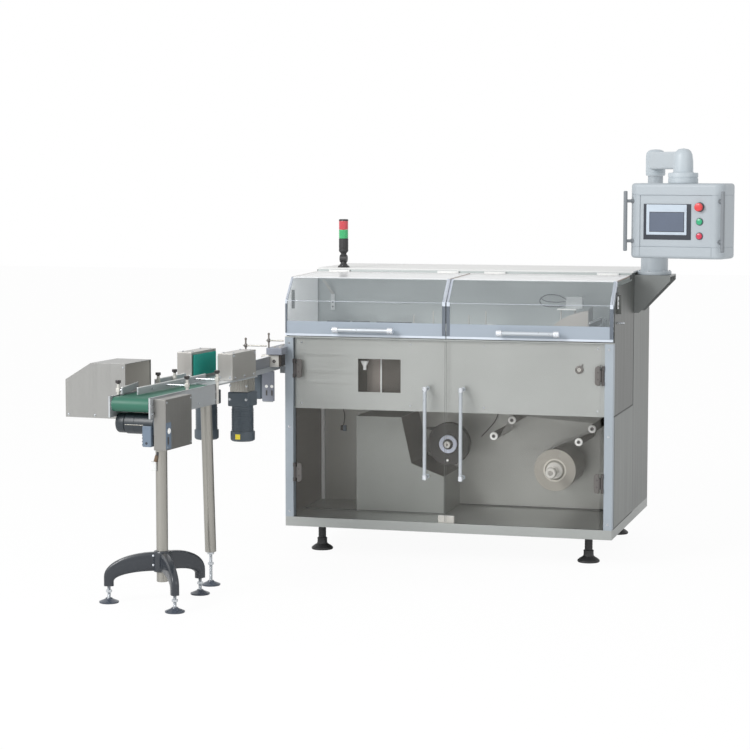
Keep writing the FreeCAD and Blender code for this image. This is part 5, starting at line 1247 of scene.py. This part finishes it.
@dataclass
class Infeed:
    """The belt conveyor with its drive, hood and guide rails."""

    top: float = 950.0
    rod_up: float = 970.0
    posts: Sequence[tuple[float, float, float, float]] = (
        (-96.0, -243.0, -76.0, 950.0), (-96.0, 144.0, -108.0, 950.0), (-96.0, 312.0, -108.0, 950.0),
        (96.0, 41.0, -8.0, 950.0), (107.0, 333.0, -8.0, 859.0))

    def build_frame(self) -> None:
        """Side plates with bright top edges, the bed and the belt."""
        frame_piece = Piece("conveyor_sides", INFEED)
        frame_piece.copy_of("conveyor_frame", RAIL, 0.8)
        for x in (-96.0, 96.0):
            frame_piece.block((x - 4, -330, 946.5), (x + 4, 347, 950.2), RAIL, 0.6)
            outer = x + math.copysign(4, x)
            for y in (-310.0, -60.0, 20.0, 150.0, 327.0):
                frame_piece.bolt((outer, y, 880), (x, 0, 0), 5)
        for y in (-315.0, 332.0):
            frame_piece.rod((-101.5, y, 915), (101.5, y, 915), 9, STEEL_BRIGHT)
        frame_piece.done("conveyor_frame")
        belt = Piece("conveyor_band")
        belt.copy_of("conveyor_belt", BELT, 0)
        belt.done("conveyor_belt")

    def build_drive(self) -> None:
        """Drive cover, motor with its stepped cap and the finned terminal box."""
        cover = Piece("drive_guard", INFEED)
        cover.copy_of("drive_cover", STEEL_DRIVE, 2.0)
        for y, z in ((-288.0, 736.0), (-54.0, 736.0), (-288.0, 928.0), (-54.0, 928.0)):
            cover.bolt((158, y, z), RIGHT, 3.2)
        cover.block((158, -300, 728), (159.5, -250, 842), TERMINAL_BLUE, 1)
        cover.rod((159, -276, 806), (164, -276, 806), 13, CAP_WHITE, 28, 2)
        cover.block((159, -286, 748), (162, -277, 780), HINGE_DARK, 1)
        cover.done("drive_cover")
        # Painted shade: the drive motor is drawn in darkened motor paint.
        motor = Piece("belt_motor", INFEED)
        motor.lathe([(0, 0), (34, 0), (40, 2.5), (43, 8), (43, 38), (42, 41), (39, 42), (39, 45), (45, 46),
                     (46, 48),
                     (46, 92), (45.2, 93), (45.2, 95), (46, 96), (46, 183), (0, 183)], (-91, -250, 830),
                    RIGHT,
                    MOTOR_SHADED, 56)
        motor.block((-40, -298, 826), (48, -292, 829), STEEL_TUBE, 0.8)
        motor.block((92, -293, 787), (99.5, -207, 858.5), MOTOR_PAINT, 2)
        motor.block((50, -309.5, 736), (91.5, -262, 826), TERMINAL_BLUE, 3)
        for rib in range(6):
            motor.block((48.2, -308, 742 + 14 * rib), (50.5, -264, 748 + 14 * rib), BEZEL, 0.5)
        motor.rod((70, -309, 752), (70, -309.6, 752), 6, BEZEL, 24)
        motor.done("drive_motor")

    def build_hood(self) -> None:
        """The sheet hood with its rivets, and a glowing lining inside it as painted light."""
        hood = Piece("side_hood", INFEED)
        hood.copy_of("infeed_hood", STEEL_HOOD, 0.8)
        for x in (-380.0, -250.0, -115.0):
            hood.bolt((x, -170, 846), FRONT, 3.6)
        for z in (870.0, 960.0, 1060.0):
            hood.bolt((-110, -170, z), FRONT, 3.6)
        # Painted light: glowing lining on the hood's inner back wall, floor and end.
        hood.prism([(-393, 75, 838), (-106, 75, 838), (-106, 75, 1072), (-270, 75, 1072), (-393, 75, 998)],
                   (0, 2.6, 0), HOOD_GLOW, 0)
        hood.block((-393, -166, 837.1), (-106, 77, 838), HOOD_GLOW, 0)
        hood.block((-396.4, -166, 838), (-395.6, 77, 998), HOOD_GLOW, 0)
        hood.done("infeed_hood")

    def star_knob(self, piece: Piece, x: float, y: float, z: float) -> None:
        """A black knob with five lobes on its threaded stem."""
        outline = []
        for step in range(30):
            angle = 2 * math.pi * step / 30
            radius = 11.2 + 1.8 * math.cos(5 * angle)
            outline.append((x + radius * math.cos(angle), y + radius * math.sin(angle), z + 4))
        piece.rod((x, y, z), (x, y, z + 5), 7, BLACK_KNOB, 24)
        piece.prism(outline, (0, 0, 13), BLACK_KNOB, 2)

    def build_rails(self) -> None:
        """Guide rails with pale wear strips, on posts with cross rods and knobs."""
        rails = Piece("product_rails", INFEED)
        for x, near, far in ((-108.0, 135.0, 450.0), (-8.0, -235.0, 450.0)):
            rails.block((x - 3, near, 951), (x + 3, far, 980), RAIL, 0.8)
            rails.block((x - 3, near, 979.5), (x + 3, far, 983), WHITE_PLASTIC, 0.8)
        across = Vector((260.0, 54.0)).normalized() * 3
        for low, high, finish in ((951.0, 980.0, RAIL), (979.5, 983.0, WHITE_PLASTIC)):
            rails.prism([(-76 + across.x, -250 + across.y, low), (-130 + across.x, 10 + across.y, low),
                         (-130 - across.x, 10 - across.y, low), (-76 - across.x, -250 - across.y, low)],
                        (0, 0, high - low), finish, 0.8)
        for x, y, rail_x, bottom in self.posts:
            rails.rod((x, y, bottom), (x, y, 996), 7, STEEL_SATIN)
            rails.block((x - 9, y - 9, self.rod_up - 9), (x + 9, y + 9, self.rod_up + 9), STEEL_SATIN, 2)
            rails.rod((x, y, self.rod_up), (rail_x, y, self.rod_up), 4, STEEL_BRIGHT)
            self.star_knob(rails, x, y, 996)
        for y in (-100.0, 200.0):
            rails.bolt((-5, y, 967), RIGHT, 4)
        rails.done("guide_rails")

    def build(self) -> None:
        """Make the conveyor."""
        self.build_frame()
        self.build_drive()
        self.build_hood()
        self.build_rails()


@dataclass
class Gates:
    """The two side belt gates with their motors."""

    near: float = 530.0
    far: float = 800.0
    low: float = 946.0
    high: float = 1071.0
    motor_y: float = 747.5

    def build_boxes(self) -> None:
        """Both cases with their bolts, and the ribbed belts on their inner faces."""
        cases = Piece("gate_cases", INFEED)
        cases.copy_of("gate_boxes", STEEL_GATE, 2.5)
        for y, z in ((560.0, 958.0), (665.0, 958.0), (770.0, 958.0), (545.0, 1059.0), (785.0, 1059.0)):
            cases.bolt((93.5, y, z), RIGHT, 4.5)
            cases.bolt((-189.5, y, z), (-1, 0, 0), 4.5)
        for x in (30.0, 81.0, -178.0, -127.0):
            cases.bolt((x, self.near, 960), FRONT, 4)
            cases.bolt((x, self.near + 40, self.high), UP, 4)
            cases.bolt((x, self.far - 40, self.high), UP, 4)
        cases.done("gate_boxes")
        belts = Piece("gate_bands", INFEED)
        for inner, way in ((-114.5, 1), (18.5, -1)):
            xs = sorted((inner, inner + way * 5))
            # Painted shade: darker teal in the grooves between the ribs.
            belts.block((xs[0], self.near + 12, self.low + 12), (xs[1], self.far - 12, self.high - 12),
                        GATE_SHADED, 1)
            face = sorted((inner + way * 4.5, inner + way * 7))
            for rib in range(34):
                y = self.near + 14 + 7.2 * rib
                belts.block((face[0], y, self.low + 12.5), (face[1], y + 4, self.high - 12.5), GATE_TEAL, 0.6,
                            1)
        belts.done("gate_belts")

    def build_motors(self) -> None:
        """Gearboxes and motors under the gates' plate."""
        motors = Piece("gate_drives", INFEED)
        y = self.motor_y
        for x in (-142.0, 46.0):
            motors.block((x - 44, 700, 875), (x + 44, 795, 937.8), STEEL_TUBE, 3, 2)
            motors.block((x - 53, y - 53, 807), (x + 53, y + 53, 875), MOTOR_PAINT, 5, 3)
            for sx in (-1, 1):
                motors.bolt((x + sx * 42, 700, 905), FRONT, 4.5)
                motors.bolt((x + sx * 42, y - 53, 841), FRONT, 5)
            profile = [(0.0, 640.0), (50, 640), (57, 645), (58, 652), (58, 684), (56, 687), (51, 688)]
            for rib in range(13):
                start = 692.0 + 8 * rib
                profile += [(50.5, start), (53, start + 0.8), (53, start + 3.4), (50.5, start + 4.2)]
            motors.lathe([*profile, (50.5, 807), (0, 807)], (x, y, 0), UP, MOTOR_PAINT, 44)
        motors.block((34, y - 59, 652), (58, y - 56, 676), YELLOW, 0.5)
        motors.place = MACHINE
        motors.block((-150, -60, 780), (-107, 0, 921.8), MOTOR_PAINT, 4, 3)
        motors.block((-100, -64, 772), (-38, -50, 921.8), GUIDE_METAL, 2)
        motors.block((-107.2, -58, 790), (-98, -20, 900), MOTOR_PAINT, 1)
        for x in (-76.0, -48.0):
            motors.rod((x, -64, 846), (x, -67, 846), 8, CAP_WHITE, 28, 1.5)
            motors.block((x - 4, -66, 800), (x + 4, -64, 826), HINGE_DARK, 1)
        motors.done("gate_motors")

    def build(self) -> None:
        """Make the gates."""
        self.build_boxes()
        self.build_motors()


@dataclass
class Bridge:
    """The bed that runs from the gates along the cabinet, and what stands on it."""

    bed_top: float = 946.0

    def build(self) -> None:
        """Make the bridge, its bearing block, guide block, studs and the far post's fittings."""
        bed = Piece("bridge_bed")
        bed.copy_of("infeed_bridge", RAIL, 0.8)
        for y in (-480.0, -320.0, -160.0):
            bed.bolt((-140, y, self.bed_top), UP, 4)
        bed.done("infeed_bridge")
        guides = Piece("bridge_fittings")
        # Painted shade on the guide block's sides and a painted highlight on its top.
        guides.block((-68, -507, 946), (-46, -100, 998.5), RAIL_SHADE, 2)
        guides.block((-68, -507, 998), (-46, -100, 1000), PALE_AND_LIT, 0.5)
        guides.block((-94, -95, 946), (-2, -19, 1005), STEEL_SATIN, 3)
        # Painted shade: a dark sheet on the bearing block's right face.
        guides.block((-1.8, -92, 948), (8, -22, 1008), DARK_STEEL_AND_SHADE, 1)
        guides.rod((-26, -94, 974), (-26, -95.4, 974), 9, HINGE_DARK, 32)
        guides.rod((-26, -95, 974), (-26, -96, 974), 3.5, STEEL_TUBE, 24)
        guides.block((-60, -115, 1008), (0, 150, 1042), GUIDE_METAL, 2)
        guides.block((-1, -115, 1008), (20, -20, 1042), GUIDE_METAL, 2)
        for x, y in ((-30.0, -70.0), (-2.0, -70.0), (-30.0, 60.0)):
            guides.bolt((x, y, 1042), UP, 6, STEEL_SATIN)
        for x, y, low, end in ((-57, -430, 1000, 50), (-49, -106, 1042, 30)):
            guides.rod((x, y, low), (x, y, 1116), 4, STEEL_SHADE)
            guides.lathe([(0, 1069), (6, 1069), (9, 1075), (9, 1081), (6, 1087), (0, 1087)], (x, y, 0), UP,
                         CLAMP_GREY, 24)
            guides.rod((x - 15, y, 1078), (end, y, 1078), 3.4, STEEL_TUBE)
            guides.rod((x, y, 1106), (x, y, 1113), 6, STEEL_SHADE, 6)
        guides.done("bridge_guides")


@dataclass
class Stands:
    """The tripod stand and the leaning single stand."""

    x: float = -139.0
    y: float = -1340.0
    angles: Sequence[float] = (-56.0, -162.0, 66.0)

    def build_tubes(self) -> None:
        """Both tubes and the head plate under the conveyor."""
        tubes = Piece("stand_tubes")
        tubes.lathe([(0, 94), (24, 94), (26, 96), (26, 847), (0, 847)], (self.x, self.y, 0), UP, STEEL_TUBE,
                    48)
        tubes.lathe([(0, 0), (24, 0), (26, 2), (26, 780.2), (0, 780.2)], (-70, -904, 156.8), (-20, 0, 782),
                    STEEL_TUBE, 48)
        tubes.block((-181, -1372, 592), (-153, -1346, 634), WHITE_PLASTIC, 3)
        tubes.rod((-158, -1366, 634), (-150, -1366, 662), 8, GLAND_BROWN, 24)
        tubes.rod((-153, -1366, 640), (-146, -1366, 676), 5, CABLE, 20)
        tubes.done("stand_posts")
        head = Piece("stand_head", INFEED)
        head.block((-62, -70, 847), (38, 70, 859), STEEL_TUBE, 1.2)
        head.done(body=node_body("stand_posts"), slot="polished_steel")

    def build_tripod(self) -> None:
        """The moulded hub and its three arms, each tapered and softly rounded."""
        base = Piece("tripod_moulding")
        base.lathe([(26.2, 140), (38, 140), (43, 146), (44, 190), (41, 222), (36, 232), (26.2, 234)],
                   (self.x, self.y, 0), UP, SLATE, 48)
        for angle in self.angles:
            base.place = turned(self.x, self.y, angle)
            turns = [math.pi / 2 * step / 14 for step in range(15)]
            upper = [(24 + 236 * math.sin(t), 22 - 4 * math.sin(t), 118 + 110 * math.cos(t)) for t in turns]
            lower = [(24 + 192 * math.sin(t), 96 + 46 * math.cos(t)) for t in turns]
            upper.append((260.0, 18.0, 76.5))
            lower.append((216.0, 76.0))
            rings = []
            for (x, wide, z), (low_x, low_z) in zip(upper, lower):
                thick = (z - low_z) * 0.5
                ring = []
                for side in range(16):
                    turn = 2 * math.pi * side / 16
                    across = math.copysign(abs(math.cos(turn)) ** 0.55, math.cos(turn))
                    upward = math.copysign(abs(math.sin(turn)) ** 0.55, math.sin(turn))
                    share = (upward + 1) / 2
                    ring.append((low_x + (x - low_x) * share, wide * across,
                                 (z + low_z) / 2 + thick * upward))
                rings.append(ring)
            base.loft(rings, SLATE)
            base.rod((238, 0, 90), (238, 0, 101.5), 8, STEEL_BRIGHT, 6)
        base.place = turned(self.x, self.y, -109.0)
        for x, y, z in ((43, -17, 214), (43, -17, 172), (40, 33, 214)):
            base.rod((x - 4, y, z), (x + 2, y, z), 5, STEEL_CAP, 20, 1)
        base.done("tripod_base")

    def build_feet(self) -> None:
        """Four pads on threaded stems with their nuts."""
        feet = Piece("stand_pads")
        spots = [(self.x + 238 * math.cos(math.radians(a)), self.y + 238 * math.sin(math.radians(a)), 76.0)
                 for a in self.angles]
        for x, y, height in [*spots, (-70.0, -904.0, 156.0)]:
            feet.lathe([(0, 0), (42, 0), (44, 2), (44, 7), (32, 12), (16, 19), (14, 23), (0, 23)], (x, y, 0),
                       UP, PAD_SLATE)
            feet.thread(22, height, x, y, 8)
            feet.rod((x, y, height * 0.62), (x, y, height * 0.62 + 11), 14, STEEL_BRIGHT, 6)
        feet.rod((-70, -904, 146), (-70, -904, 156), 16, STEEL_BRIGHT, 6)
        feet.done("stand_feet")

    def build(self) -> None:
        """Make both stands."""
        self.build_tubes()
        self.build_tripod()
        self.build_feet()


def main() -> None:
    """Build the scene in order."""
    logging.basicConfig(level=logging.INFO)
    Studio().build()
    for assembly in (Cabinet(), TableFittings(), FilmPath(), Doors(), Covers(), SignalTower(), ControlPanel(),
                     Infeed(), Gates(), Bridge(), Stands()):
        assembly.build()


if __name__ == "__main__":
    main()
